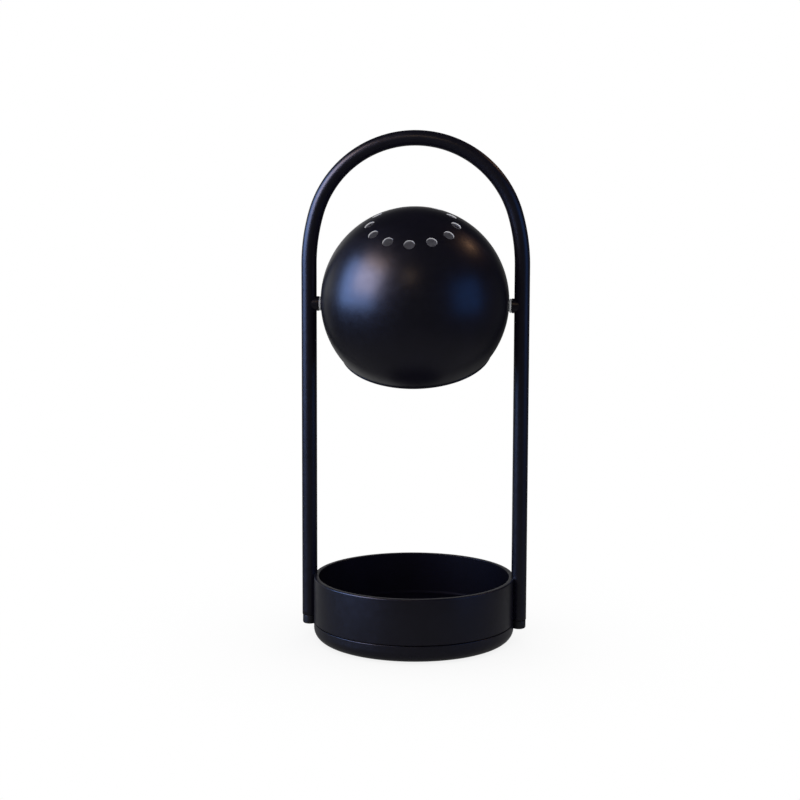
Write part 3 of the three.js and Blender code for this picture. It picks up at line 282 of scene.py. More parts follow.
def rounded(corners, steps=5):
    """A closed profile through corners (x, y, radius), each with a radius rounded by its arc."""
    corners = np.array(corners, float)
    share = np.linspace(0, 1, steps + 1)[:, None]
    points = []
    for before, (*here, radius), after in zip(np.roll(corners, 1, 0), corners, np.roll(corners, -1, 0)):
        if radius == 0:
            points.append([here])
            continue
        centre, start, end, _ = corner_arc(before[:2], np.array(here), after[:2], radius)
        points.append(centre + radius * unit((start - centre) * (1 - share) + (end - centre) * share))
    return np.concatenate(points)


def turned(profile, sides=96, carve=None):
    """A grid turned about Z from (radius, height) points: x and y are the radius times the angle's cosine and
    sine. sides gives the angles, or how many. carve limits the radius at a height and an angle."""
    angle = sides if isinstance(sides, np.ndarray) else np.linspace(0, 2 * np.pi, sides, endpoint=False)
    radius, height = (profile[:, [column]] * np.ones_like(angle) for column in (0, 1))
    if carve is not None:
        radius = carve(radius, height, angle)
    return np.stack([radius * np.cos(angle), radius * np.sin(angle), height], -1)


def turned_piece(name, profile, materials, sides=96, carve=None, place=None, sharp=35.0):
    """A closed piece from a closed profile: the grid of turned(), put in its place."""
    grid = turned(profile, sides, carve)
    return grid_piece(name, grid if place is None else place(grid), materials, sharp, closed=True)


def on_both_sides(body, slot, finish, *kinds):
    """Turned pieces on the right, then like ones on the left. Each kind gives its name, its node, its
    profile, what puts it on a side, 1 or -1, and how it is turned."""
    pieces = []
    for side, hand in ((1, "right"), (-1, "left")):
        for name, node, profile, place, how in kinds:
            piece = turned_piece(f"{hand}_{name}", profile, [finish], place=lambda p: place(p, side), **how)
            pieces.append(fitted(piece, body, slot, f"{hand}_{node}"))
    return pieces


def in_the_leg(points, side):
    """Moves points from the lamp's axis to a leg's."""
    return points + (side * LEG_X, 0, 0)


# Moulded nylon is a little duller than the coat, with the mould's fine grain.
plug_nylon = grained(
    "nylon, moulded black", ("#0c0c10", "#121216"), (0.38, 0.46), grain=0.35, relief=0.006,
    more={"Specular IOR Level": 0.3},
)
plug_profile = rounded([
    (0, PLUG_END, 0),
    (PLUG_RADIUS, PLUG_END, PLUG_EDGE),
    (PLUG_RADIUS, PLUG_HEAD_TOP, 0.25),
    (PLUG_SPIGOT_RADIUS, PLUG_HEAD_TOP, 0),
    (PLUG_SPIGOT_RADIUS, PLUG_SPIGOT_TOP, 0.4),
    (0, PLUG_SPIGOT_TOP, 0),
])
plug = ("plug", "leg_plug", plug_profile, in_the_leg, {"sides": 64})
_, left_plug = on_both_sides("stand", "black_plastic", plug_nylon, plug)
# The lead goes in through the head and up through the spigot.
way_in, elbow = (PLUG_RADIUS + OVERRUN - LEG_X, 0, LEAD_LEVEL), (LEAD_X, 0, LEAD_LEVEL)
drilled(left_plug, [(way_in, elbow, LEAD_HOLE), (elbow, (LEAD_X, 0, PLUG_SPIGOT_TOP + OVERRUN), LEAD_HOLE)])


# ---- Tray
# A spun metal cup with a flat rim, powder coated like the arch but matt inside. Two grooves in its wall take
# the legs, and its lower edge stops just over the housing, which leaves the fine seam round the base.
BASE_RADIUS = 64.8
TRAY_INSIDE = 61.6
TRAY_BOTTOM = 12.35
TRAY_TOP = 14.35
RIM_HEIGHT = 41.6
GROOVE_RADIUS = 5.05
SKIRT_INSIDE = 60.8
SKIRT_RADIUS = 62.3
SKIRT_BOTTOM = 11.45
INSIDE_MARGIN = 0.05


def base_angles():
    """Angles round the base: even, but closer together at the legs' grooves, with one on each of their
    edges, where the base's circle meets the groove's."""
    x = (BASE_RADIUS**2 + LEG_X**2 - GROOVE_RADIUS**2) / (2 * LEG_X)
    edge = math.acos(x / BASE_RADIUS)
    half = np.concatenate([np.linspace(-edge, edge, 25), np.linspace(edge, math.pi - edge, 91)[1:-1]])
    return np.concatenate([half, half + math.pi])


def grooved(radius, height, angle):
    """Limits the radius to where a ray from the axis meets the round of a leg, on that leg's side."""
    offset = LEG_X * np.sin(angle)
    reach = LEG_X * np.abs(np.cos(angle)) - np.sqrt(np.clip(GROOVE_RADIUS**2 - offset**2, 0, None))
    return np.where(np.abs(offset) < GROOVE_RADIUS, np.minimum(radius, reach), radius)


tray_corners = [
    (0, TRAY_BOTTOM, 0),
    (SKIRT_INSIDE, TRAY_BOTTOM, 0),
    (SKIRT_INSIDE, SKIRT_BOTTOM, 0.2),
    (SKIRT_RADIUS, SKIRT_BOTTOM, 0.2),
    (SKIRT_RADIUS, TRAY_BOTTOM, 0),
    (BASE_RADIUS, TRAY_BOTTOM, 0.35),
    (BASE_RADIUS, RIM_HEIGHT, 0.85),
    (TRAY_INSIDE, RIM_HEIGHT, 0.6),
    (TRAY_INSIDE, TRAY_TOP, 2.0),
    (0, TRAY_TOP, 0),
]
# Inside the cup the coat is matt, so its floor stays black and mirrors nothing.
matt_coat = powder_coat("metal, black powder coat, matt", (0.55, 0.65), 0.03)
tray = turned_piece("tray_cup", rounded(tray_corners, 8), [coat, matt_coat], base_angles(), grooved)
for face in tray.data.polygons:
    inside = math.hypot(face.center.x, face.center.y) < (TRAY_INSIDE + INSIDE_MARGIN) / 1000
    if inside and face.center.z > (TRAY_TOP - INSIDE_MARGIN) / 1000:
        face.material_index = 1
tray_holes = [
    ((side * (TRAY_INSIDE - OVERRUN), 0, height), (side * (BASE_RADIUS + OVERRUN), 0, height), SCREW_HOLE)
    for side in (-1, 1)
    for height in LEG_SCREW_HEIGHTS
]
fitted(drilled(tray, tray_holes), "stand", "black_coat", "tray")


# ---- Leg screws
# Black-oxide steel screws with low round heads and hexagon sockets. They go from inside the tray through its
# wall and the leg's wall into a tapped steel bar in the leg.
HEAD_GAP = 0.05


def hexagon_reach(corner, angle):
    """How far a hexagon reaches at an angle: a flat's distance over the cosine of the angle to its middle."""
    return corner * math.cos(math.pi / 6) / np.cos((angle + math.pi / 6) % (math.pi / 3) - math.pi / 6)


def socket_screw(head, head_height, shank, length, key, key_depth):
    """A profile and a carve for a screw along +Z with its head's seat at zero and the head below. The carve
    turns the socket's round wall into a hexagon."""
    corners = [
        (0, key_depth - head_height, 0),
        (key, key_depth - head_height, 0),
        (key + 0.001, -head_height, 0.08),
        (head, -head_height, head_height * 0.45),
        (head, 0, 0.06),
        (shank, 0, 0),
        (shank, length, 0.25),
        (0, length, 0),
    ]

    def carve(radius, height, angle):
        return np.where(radius <= key + 0.05, radius / key * hexagon_reach(key, angle), radius)

    return rounded(corners, 4), carve


# The oxide gives a dark grey metal, glossier where more of its oil is left.
black_oxide = grained(
    "steel, black oxide", ("#1d1e20", "#2b2c2f"), (0.32, 0.45), grain=0.4, relief=0.004, metallic=0.9
)
leg_screw, hexagon = socket_screw(head=2.4, head_height=1.4, shank=1.4, length=6.6, key=1.15, key_depth=0.8)


def in_the_wall(height):
    """Turns +Z to point outwards along X at a height, with the seat just inside the tray's wall."""

    def place(points, side):
        x, y, z = np.moveaxis(points, -1, 0)
        return np.stack([side * (TRAY_INSIDE - HEAD_GAP + z), y, height + x], -1)

    return place


how = {"sides": 48, "carve": hexagon}
leg_screws = [
    (f"wall_screw_{number}", f"leg_screw_{number}", leg_screw, in_the_wall(height), how)
    for number, height in enumerate(LEG_SCREW_HEIGHTS, 1)
]
on_both_sides("stand", "dark_steel", black_oxide, *leg_screws)


def dressed(material, *nodes):
    """A CAD node whose shape is right keeps its mesh and gets a finish."""
    for name in nodes:
        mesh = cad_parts[name].data
        mesh.materials.clear()
        mesh.materials.append(material)


# ---- Nut bars
# Short bars of zinc-plated steel inside the legs, each tapped for its leg's two screws. The arch hides them.
# Zinc is a light, faintly blue metal with a cloudy gloss.
zinc_plate = grained(
    "steel, zinc plated", ("#8e9296", "#a9adb1"), (0.26, 0.42), grain=0.5, relief=0.003, metallic=1, clouds=5
)
dressed(zinc_plate, "right_nut_bar", "left_nut_bar")


# ---- Lower housing
# A shallow metal cup, powder coated like the tray, with a full round at its lower edge. It has a groove for
# the foot ring, the ends of the legs' grooves, a round hole for the button and a slot for the socket.
HOUSING_TOP = 11.85
HOUSING_BOTTOM = 0.5
HOUSING_WALL = 2.2
HOUSING_INSIDE = BASE_RADIUS - HOUSING_WALL
HOUSING_FLOOR = HOUSING_BOTTOM + HOUSING_WALL
HOUSING_EDGE = 7.5
FOOT_GROOVE_INSIDE = 44.3
FOOT_GROOVE_RADIUS = 54.9
FOOT_GROOVE_TOP = 1.5
LEG_GROOVE_BOTTOM = 8.0
PORT_HEIGHT = 7.2
BUTTON_HOLE = 2.8
SOCKET_TURN = math.radians(22)
SOCKET_WIDTH = 9.0
SOCKET_HEIGHT = 3.2
SOCKET_GAP = 0.2


def housing_carve(radius, height, angle):
    """The legs' grooves reach down to the plugs' ends only."""
    return np.where(height > LEG_GROOVE_BOTTOM + 0.005, grooved(radius, height, angle), radius)


def on_the_wall(points):
    """Puts a piece that points along +Y at the ports' height and turns it round the base to the socket."""
    c, s = math.cos(SOCKET_TURN), math.sin(SOCKET_TURN)
    x, y, z = np.moveaxis(points, -1, 0)
    return np.stack([x * c - y * s, x * s + y * c, z + PORT_HEIGHT], -1)


def slot_bar(name, width, height, start, end, materials, bevel=0.0):
    """A bar with a slot's outline, two half rounds joined by straight sides, from start to end along the
    socket's direction. Its end faces shrink by the bevel."""
    turn = np.linspace(-np.pi / 2, np.pi / 2, 17)
    right = np.stack([width / 2 - height / 2 + height / 2 * np.cos(turn), height / 2 * np.sin(turn)], -1)
    outline = np.concatenate([right, -right])
    shrunk = outline * (1 - 2 * bevel / np.array([width, height]))
    rows = [(shrunk, start), (outline, start + bevel), (outline, end - bevel), (shrunk, end)]
    rows = np.array([np.insert(row, 1, reach, axis=1) for row, reach in rows])
    return grid_piece(name, on_the_wall(capped(rows, (0, start, 0), (0, end, 0))), materials)


housing_corners = [
    (0, HOUSING_BOTTOM, 0),
    (FOOT_GROOVE_INSIDE, HOUSING_BOTTOM, 0.2),
    (FOOT_GROOVE_INSIDE, FOOT_GROOVE_TOP, 0),
    (FOOT_GROOVE_RADIUS, FOOT_GROOVE_TOP, 0),
    (FOOT_GROOVE_RADIUS, HOUSING_BOTTOM, 0.2),
    (BASE_RADIUS, HOUSING_BOTTOM, HOUSING_EDGE),
    # Rows across the legs' grooves.
    *((BASE_RADIUS, height, 0) for height in (LEG_GROOVE_BOTTOM + 0.01, 8.5, 9.2, 10.0, 10.8)),
    (BASE_RADIUS, HOUSING_TOP, 0.35),
    (HOUSING_INSIDE, HOUSING_TOP, 0.2),
    (HOUSING_INSIDE, HOUSING_FLOOR, HOUSING_EDGE - HOUSING_WALL),
    (0, HOUSING_FLOOR, 0),
]
housing = turned_piece("housing_cup", rounded(housing_corners, 12), [coat], base_angles(), housing_carve)
port_start, port_end = HOUSING_INSIDE - OVERRUN, BASE_RADIUS + OVERRUN
housing_holes = [
    ((0, port_start, PORT_HEIGHT), (0, port_end, PORT_HEIGHT), BUTTON_HOLE),
    ((-port_start, 0, LEAD_LEVEL), (-LEG_X, 0, LEAD_LEVEL), LEAD_HOLE),
]
slot_width, slot_height = SOCKET_WIDTH + 2 * SOCKET_GAP, SOCKET_HEIGHT + 2 * SOCKET_GAP
slot_tool = slot_bar("slot_tool", slot_width, slot_height, port_start, port_end, [])
fitted(cut_by(drilled(housing, housing_holes), slot_tool), "stand", "black_coat", "lower_housing")


# ---- Base screws
# Four black-oxide steel screws in sunk holes under the foot ring, which hold the housing up against the tray.
dressed(black_oxide, "base_screw_1", "base_screw_2", "base_screw_3", "base_screw_4")


# ---- Foot ring
# Soft silicone rubber, moulded matt, glued in its groove. It stands half a millimetre out of the underside.
FOOT_INSIDE = 44.6
FOOT_RADIUS = 54.6
FOOT_TOP = 1.2
FOOT_EDGE = 0.35
# Dark grey rubber with no clear highlight, slightly rough from its mould.
foot_rubber = grained(
    "silicone rubber, moulded matt", ("#1a1a1b", "#232324"), (0.7, 0.85), grain=0.5, relief=0.012, clouds=8
)
foot_corners = [(FOOT_INSIDE, 0, FOOT_EDGE), (FOOT_RADIUS, 0, FOOT_EDGE)]
foot_corners += [(FOOT_RADIUS, FOOT_TOP, 0), (FOOT_INSIDE, FOOT_TOP, 0)]
foot = turned_piece("foot", rounded(foot_corners), [foot_rubber], 160)
fitted(foot, "stand", "rubber", "foot_ring")


# ---- Ballast plate
# Five millimetres of hot-rolled steel, cut by laser and left dark, which keeps the small lamp from tipping.
# Mill scale gives a dark, patchy grey with a dull gleam.
mill_steel = grained(
    "steel, hot rolled", ("#4a4c50", "#6b6d70"), (0.4, 0.6), grain=1.2, relief=0.02, metallic=0.9, clouds=20
)
dressed(mill_steel, "ballast_plate")


# ---- Battery
# A flat pouch cell in the ballast's window, in crinkled grey laminate.
# The laminate has a soft metal gleam that shallow crinkles break up.
pouch_foil = grained(
    "aluminium laminate, pouch foil", ("#84888e", "#a0a4a9"), (0.3, 0.45), grain=3, relief=0.06, metallic=0.6
)
dressed(pouch_foil, "battery_pack")


# ---- Control board
# Glass epoxy under green lacquer, with its two screws. The lacquer is glossy over copper and duller between.
board_lacquer = grained(
    "glass epoxy, green lacquer", ("#17472f", "#21663f"), (0.25, 0.45), grain=1.0, relief=0.02, clouds=3
)
dressed(board_lacquer, "control_board")
dressed(black_oxide, "board_screw_1", "board_screw_2")


# ---- Charging socket
# A stamped steel shell, nickel plated, open towards the rear, with a black tongue in its mouth.
SOCKET_FACE = 64.0
SOCKET_BACK = SOCKET_FACE - 8.3
SOCKET_WALL = 0.35
MOUTH_DEPTH = 5.5
TONGUE_WIDTH = 6.4
TONGUE_THICKNESS = 0.7
TONGUE_INSET = 0.9
# Nickel is a little warmer than zinc, with sharper highlights.
nickel = grained(
    "steel, nickel plated", ("#9a9a98", "#b4b3af"), (0.2, 0.32), grain=0.4, relief=0.003, metallic=1, clouds=4
)
socket_shell = slot_bar(
    "socket_shell", SOCKET_WIDTH, SOCKET_HEIGHT, SOCKET_BACK, SOCKET_FACE, [nickel], bevel=0.12
)
mouth_width, mouth_height = SOCKET_WIDTH - 2 * SOCKET_WALL, SOCKET_HEIGHT - 2 * SOCKET_WALL
mouth_floor = SOCKET_FACE - MOUTH_DEPTH
mouth_tool = slot_bar("mouth_tool", mouth_width, mouth_height, mouth_floor, SOCKET_FACE + OVERRUN, [])
fitted(cut_by(socket_shell, mouth_tool), "stand", "steel", "charging_socket")
# Dull black, so that the tongue shows by its edge only.
tongue_plastic = grained(
    "liquid-crystal polymer, moulded black", ("#101113", "#18191b"), (0.4, 0.5), grain=0.3, relief=0.004
)
tongue_start, tongue_end = mouth_floor - 0.1, SOCKET_FACE - TONGUE_INSET
tongue = slot_bar(
    "socket_tongue", TONGUE_WIDTH, TONGUE_THICKNESS, tongue_start, tongue_end, [tongue_plastic], bevel=0.1
)
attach(tongue, "stand")


# ---- Switch
# A black moulded switch on the board, behind the button, with a hole for the button's stem.
dressed(plug_nylon, "switch_body")


# ---- Power button
# A black moulded cap in the rear of the housing. Its face is slightly dished for the fingertip, and a collar
# inside the wall stops it from falling out.
BUTTON_RADIUS = 2.6
STEM_RADIUS = 0.9
STEM_END = 56.2
COLLAR_RADIUS = 3.2
COLLAR_BACK = 59.3
COLLAR_FRONT = 60.3
button_profile = rounded([
    (0, STEM_END, 0),
    (STEM_RADIUS, STEM_END, 0.15),
    (STEM_RADIUS, COLLAR_BACK, 0),
    (COLLAR_RADIUS, COLLAR_BACK, 0.1),
    (COLLAR_RADIUS, COLLAR_FRONT, 0.1),
    (BUTTON_RADIUS, COLLAR_FRONT, 0),
    (BUTTON_RADIUS, BASE_RADIUS - 0.02, 0.45),
    # The dish, a quarter of a millimetre deep.
    (1.7, BASE_RADIUS - 0.05, 0.4),
    (0.9, BASE_RADIUS - 0.22, 0.5),
    (0, BASE_RADIUS - 0.26, 0),
])


def in_the_port(points):
    """Turns +Z to point backwards along Y, at the ports' height."""
    x, y, z = np.moveaxis(points, -1, 0)
    return np.stack([x, z, PORT_HEIGHT - y], -1)


button = turned_piece("button", button_profile, [plug_nylon], 64, place=in_the_port)
fitted(button, "button", "black_plastic", "power_button")


# ---- Saddle spacers
# Turned steel sleeves, coated black, between the legs and the shade. The outer end is coped, so that it lies
# round the leg, and the inner end is the flat face that the shade's bush turns against.
SPACER_INNER = 61.45
SPACER_RADIUS = 4.7
SPACER_SIDES = 96
SADDLE_GAP = 0.03


def on_the_pivot(points, side):
    """Turns +Z to point outwards along X at the pivots' height. The left is the right turned round."""
    x, y, z = np.moveaxis(points, -1, 0)
    return np.stack([side * z, side * -x, PIVOT_HEIGHT + y], -1)


def spacer_points():
    """Rings from the bore's inner end over the rounded outer edge to the coped end and back to the bore. The
    coped end lies at the leg's axis less the half chord of the leg's round, at each point's own offset."""
    inner = [(PIN_HOLE, SPACER_INNER, 0.1), (SPACER_RADIUS, SPACER_INNER, 0.4)]
    sleeve = turned(rounded([*inner, (SPACER_RADIUS, LEG_X, 0), (PIN_HOLE, LEG_X, 0)])[:-2], SPACER_SIDES)
    radius = np.array([SPACER_RADIUS, (SPACER_RADIUS + PIN_HOLE) / 2, PIN_HOLE])
    cope = turned(np.stack([radius, 0 * radius], -1), SPACER_SIDES)
    cope[..., 2] = LEG_X - np.sqrt((TUBE_RADIUS + SADDLE_GAP) ** 2 - cope[..., 0] ** 2)
    return np.concatenate([sleeve, cope])


spacer_coat = powder_coat("steel sleeve, black powder coat")
for side, name in ((1, "right"), (-1, "left")):
    spacer = grid_piece(f"{name}_spacer", on_the_pivot(spacer_points(), side), [spacer_coat], closed=True)
    fitted(spacer, "stand", "black_coat", f"{name}_saddle_spacer")


# ---- Pivot pins, friction washers and nuts
# Hollow zinc-plated pins go from inside each leg through the spacer, the shade and the bracket's eye. A
# spring washer and a nut on the inner end hold the shade at any tilt by friction. A lead goes through the
# left pin.
PIN_RADIUS = 2.5
PIN_BORE = 1.3
PIN_END = 47.8
PIN_HEAD_RADIUS = 3.0
PIN_HEAD_SEAT = 66.13
PIN_HEAD_END = 67.43
FASTENER_HOLE = 2.65
WASHER_RADIUS = 4.9
WASHER_INNER, WASHER_OUTER = 51.8, 52.6
NUT_CORNER = 4.6
NUT_FACE_RADIUS = 4.1
NUT_CHAMFER = 0.45
NUT_INNER, NUT_OUTER = 48.3, 51.5
pin_profile = rounded([
    (PIN_BORE, PIN_END, 0.15),
    (PIN_RADIUS, PIN_END, 0.3),
    (PIN_RADIUS, PIN_HEAD_SEAT, 0),
    (PIN_HEAD_RADIUS, PIN_HEAD_SEAT, 0.1),
    (PIN_HEAD_RADIUS, PIN_HEAD_END, 0.3),
    (PIN_BORE, PIN_HEAD_END, 0.1),
])
washer_profile = rounded([
    (FASTENER_HOLE, WASHER_INNER, 0.08),
    (WASHER_RADIUS, WASHER_INNER, 0.15),
    (WASHER_RADIUS, WASHER_OUTER, 0.15),
    (FASTENER_HOLE, WASHER_OUTER, 0.08),
])
nut_profile = rounded([
    (FASTENER_HOLE, NUT_INNER, 0.2),
    (NUT_FACE_RADIUS, NUT_INNER, 0.05),
    (NUT_CORNER, NUT_INNER + NUT_CHAMFER, 0),
    (NUT_CORNER, NUT_OUTER - NUT_CHAMFER, 0),
    (NUT_FACE_RADIUS, NUT_OUTER, 0.05),
    (FASTENER_HOLE, NUT_OUTER, 0.2),
])


def nut_carve(radius, height, angle):
    """No point lies outside the hexagon."""
    return np.minimum(radius, hexagon_reach(NUT_CORNER, angle))


pivot_kinds = [
    ("pin", "pivot_pin", pin_profile, on_the_pivot, {"sides": 64}),
    ("spring_washer", "friction_washer", washer_profile, on_the_pivot, {"sides": 64}),
    ("nut", "pivot_nut", nut_profile, on_the_pivot, {"sides": 96, "carve": nut_carve, "sharp": 25}),
]
on_both_sides("stand", "steel", zinc_plate, *pivot_kinds)


# ---- Leads
# Soft round cable in a pale PVC sheath. One runs from the board over the ballast, up inside the left leg and
# into the hollow pin. The other runs from the pin over the heat sink and down between two fins.
LEAD_RADIUS = 0.85
LEAD_SIDES = 20
# A warm, pale sheath with a soft gloss and the slight waves of extrusion.
sheath = grained(
    "PVC sheath, extruded", ("#d9d7cf", "#e6e4dd"), (0.42, 0.5), grain=0.8, relief=0.008, clouds=10
)


def routed(corners, bend, steps=8):
    """Points along straight runs, with each corner rounded by its arc of radius bend. Along the arc, a spoke
    is the first one and the last one, each times the sine of the angle to the other, over the turn's sine."""
    corners = np.array(corners, float)
    share = np.linspace(0, 1, steps + 1)[:, None]
    points = [corners[:1]]
    for before, here, after in zip(corners, corners[1:], corners[2:]):
        centre, start, end, half = corner_arc(before, here, after, bend)
        turn = math.pi - 2 * half
        spokes = np.sin((1 - share) * turn) * (start - centre) + np.sin(share * turn) * (end - centre)
        points.append(centre + spokes / math.sin(turn))
    return np.concatenate([*points, corners[-1:]])


def tangents(points):
    """The direction of a line at each of its points: halfway between the runs that meet there."""
    runs = unit(np.diff(points, axis=0))
    return unit(np.concatenate([runs[:1], runs[1:] + runs[:-1], runs[-1:]]))


def cable(points):
    """Rings of a lead along points. Each ring's frame is the last one's turned by the least angle, so the
    sheath doesn't twist, and both ends close to a point."""
    tangent = tangents(points)
    side = np.cross(tangent[0], (0.3, 1.0, 0.2))
    across = []
    for along in tangent:
        side = unit(side - along * (side @ along))
        across.append(side)
    rows = rings(points, across, np.cross(tangent, across), LEAD_RADIUS, LEAD_SIDES)
    return capped(rows, points[0], points[-1])


stand_corners = [
    (-21.75, 37.6, 5.6),  # on the board
    (-21.75, 37.6, LEAD_LEVEL),
    (-56.6, 0, LEAD_LEVEL),
    (LEAD_X, 0, LEAD_LEVEL),
    (LEAD_X, 0, PIVOT_HEIGHT),
    (-PIN_END, 0, PIVOT_HEIGHT),
]
stand_cable = grid_piece("stand_cable", cable(routed(stand_corners, bend=2.0)), [sheath])
fitted(stand_cable, "stand", "sheath", "stand_lead")


# ---- Shade shell
# Spun aluminium with a rolled bead round its opening and twelve punched vents round its pole. It is
# lacquered grey inside and powder coated black outside. The black stops just inside the holes' edges, and a
# pale band in the outer part of each hole's wall is a painted highlight, which draws each vent's edge as a
# thin crescent. It is made in its own frame, with the pivots on X and the vents towards +Z, and then tilted.
BALL_RADIUS = 60.0
SHELL_WALL = 1.2
SHELL_INSIDE = BALL_RADIUS - SHELL_WALL
SHELL_MIDDLE = BALL_RADIUS - SHELL_WALL / 2
PIVOT_DROP = 2.8
SHADE_TILT = math.radians(22.5)
OPENING_ANGLE = math.radians(180 - 53.2)
VENT_ANGLE = math.radians(26.9)
VENT_RADIUS = 3.4  # the punched 3.5 mm less 0.1 mm of coat and lacquer
VENT_COUNT = 12
VENT_EDGE = 0.12
VENT_CELLS = 16  # the grid's columns at each vent
# How deep the pale band of painted highlight reaches into each hole's wall from the outer face.
HIGHLIGHT_BAND_DEPTH = 0.7
PIVOT_HOLE = 3.9
PIVOT_CELLS = 8
PATCH_RINGS = 9
BEAD_RADIUS = 1.25
COLUMNS = VENT_COUNT * VENT_CELLS
COLUMN = 2 * math.pi / COLUMNS
FIRST_VENT = -math.pi / 2


def tilted(points):
    """From the shade's own frame to the lamp's: turned about the pivots, then lifted to their height."""
    c, s = math.cos(SHADE_TILT), math.sin(SHADE_TILT)
    x, y, z = np.moveaxis(np.asarray(points, float), -1, 0)
    return np.stack([x, y * c - z * s, y * s + z * c + PIVOT_HEIGHT], -1)


def direction(polar, azimuth):
    """The unit vector at a polar angle from +Z and an azimuth from +X."""
    polar, azimuth = np.broadcast_arrays(polar, azimuth)
    return np.stack([np.sin(polar) * np.cos(azimuth), np.sin(polar) * np.sin(azimuth), np.cos(polar)], -1)


def circle_round(middle, towards, angle):
    """Unit vectors at an angle from the unit vector middle, one in the plane of each vector of towards."""
    away = unit(towards - middle * (towards @ middle)[:, None])
    return math.cos(angle) * middle + math.sin(angle) * away


def holed_patch(polar, azimuth, half_polar, half_azimuth, hole, cells):
    """Unit vectors of a patch of the ball with a round hole in its middle. Its rows go from the hole's circle
    to the patch's four sides, where the points are the even grid's own, and its columns go round."""
    share = np.linspace(-1, 1, cells + 1)[:-1]
    edge = np.ones(cells)
    x, y = np.concatenate([share, edge, -share, -edge]), np.concatenate([-edge, share, edge, -share])
    rim = direction(polar + half_polar * y, azimuth + half_azimuth * x)
    circle = circle_round(direction(polar, azimuth), rim, hole)
    mix = (np.linspace(0, 1, PATCH_RINGS) ** 1.3)[:, None, None]
    return unit(circle * (1 - mix) + rim * mix)


def shell_skin():
    """One layer of the ball as unit vectors: the even grids, the vents' and the pivots' patches, which the
    grids leave out, and the polar angle where the bead begins."""
    azimuth = FIRST_VENT - math.pi / VENT_COUNT + COLUMN * np.arange(COLUMNS + 1)
    half = VENT_ANGLE * 0.25
    pivot_polar = math.pi / 2 + math.asin(PIVOT_DROP / BALL_RADIUS)
    pivot_half = PIVOT_CELLS / 2 * COLUMN
    end = OPENING_ANGLE - math.sqrt(BEAD_RADIUS**2 - (SHELL_WALL / 2) ** 2) / SHELL_MIDDLE
    rows = (
        np.linspace(0, VENT_ANGLE - half, 13),
        np.linspace(VENT_ANGLE + half, pivot_polar - pivot_half, 26),
        np.linspace(pivot_polar + pivot_half, end, 17),
    )
    grids = [direction(polar[:, None], azimuth[None, :]) for polar in rows]
    # The band at the pivots' height, from one pivot's patch to the other's, on both sides.
    band = np.linspace(pivot_polar - pivot_half, pivot_polar + pivot_half, PIVOT_CELLS + 1)
    for pivot in (0.0, math.pi):
        run = pivot + pivot_half + COLUMN * np.arange(COLUMNS // 2 - PIVOT_CELLS + 1)
        grids.append(direction(band[:, None], run[None, :]))
    hole, step = (VENT_RADIUS + VENT_EDGE) / BALL_RADIUS, math.pi / VENT_COUNT
    turns = FIRST_VENT + 2 * step * np.arange(VENT_COUNT)
    vents = [holed_patch(VENT_ANGLE, turn, half, step, hole, VENT_CELLS) for turn in turns]
    size = (pivot_half, pivot_half, PIVOT_HOLE / BALL_RADIUS, PIVOT_CELLS)
    pivots = [holed_patch(pivot_polar, turn, *size) for turn in (0.0, math.pi)]
    return grids, vents, pivots, end


def hole_wall(patch, hole, edge):
    """Rings through the wall at a patch's hole, from the outer face to the inner one, with rounded edges: the
    circle's radius is least at the middle of the wall and grows by the edge's quarter round at both faces.
    The ring between the edges is where the pale band of painted highlight ends."""
    # All points of the circle lie equally far along its axis.
    middle = unit(np.linalg.lstsq(patch[0], np.ones(len(patch[0])), rcond=None)[0])
    turn = np.linspace(0, math.pi / 2, 6)
    outer, grow = edge * (1 - np.cos(turn)), edge * (1 - np.sin(turn))
    depth = np.concatenate([outer, [HIGHLIGHT_BAND_DEPTH], SHELL_WALL - outer[::-1]])
    grow = np.concatenate([grow, [0], grow[::-1]])
    spread = (hole + grow) / BALL_RADIUS
    return np.array([(BALL_RADIUS - d) * circle_round(middle, patch[0], s) for d, s in zip(depth, spread)])


def bead_rings(end):
    """The bead: a circle's arc about the wall's middle at the opening, from the outer face's end round to the
    inner face's, carried round the axis."""
    bead = SHELL_MIDDLE * np.array([math.sin(OPENING_ANGLE), math.cos(OPENING_ANGLE)])
    rim = np.array([math.sin(end), math.cos(end)])
    start, stop = BALL_RADIUS * rim - bead, SHELL_INSIDE * rim - bead
    first, last = math.atan2(start[1], start[0]), math.atan2(stop[1], stop[0])
    turn = first - np.linspace(0, (first - last) % (2 * math.pi), 25)
    reach = np.linspace(np.linalg.norm(start), np.linalg.norm(stop), 25)
    profile = np.stack([bead[0] + reach * np.cos(turn), bead[1] + reach * np.sin(turn)], -1)
    return turned(profile, FIRST_VENT - math.pi / VENT_COUNT + COLUMN * np.arange(COLUMNS))


def shade_shell():
    """The shell's points and faces, and each face's finish: 0 for the outer layer and the bead, 1 for the
    inner layer, 2 for the pale band of painted highlight in the holes' walls."""
    grids, vents, pivots, end = shell_skin()
    points, faces, finishes = [], [], []

    def lay(grid, closed, finish):
        made = grid_faces(*grid.shape[:2], sum(len(p) for p in points), closed_columns=closed)
        points.append(grid.reshape(-1, 3))
        faces.extend(made)
        finishes.extend([finish] * len(made))

    def lay_both(grid, closed):
        lay(grid * BALL_RADIUS, closed, 0)
        lay(grid * SHELL_INSIDE, closed, 1)

    for grid in grids:
        lay_both(grid, False)
    for patches, hole, edge in ((vents, VENT_RADIUS, VENT_EDGE), (pivots, PIVOT_HOLE, 0.0)):
        for patch in patches:
            lay_both(patch, True)
            wall = hole_wall(patch, hole, edge)
            lay(wall[:5], True, 0)
            # The pale band of painted highlight in the hole's wall.
            lay(wall[4:7], True, 2)
            lay(wall[6:], True, 1)
    lay(bead_rings(end), True, 0)
    return tilted(np.concatenate(points) + (0, 0, PIVOT_DROP)), faces, finishes


shade_coat = powder_coat("aluminium, black powder coat")
# The lacquer is an even grey with a faint violet cast and a soft highlight.
inside_coat = grained(
    "aluminium, grey lacquer inside", ("#8f8d99", "#9c9aa5"), (0.40, 0.50), grain=0.9, relief=0.008, clouds=20
)
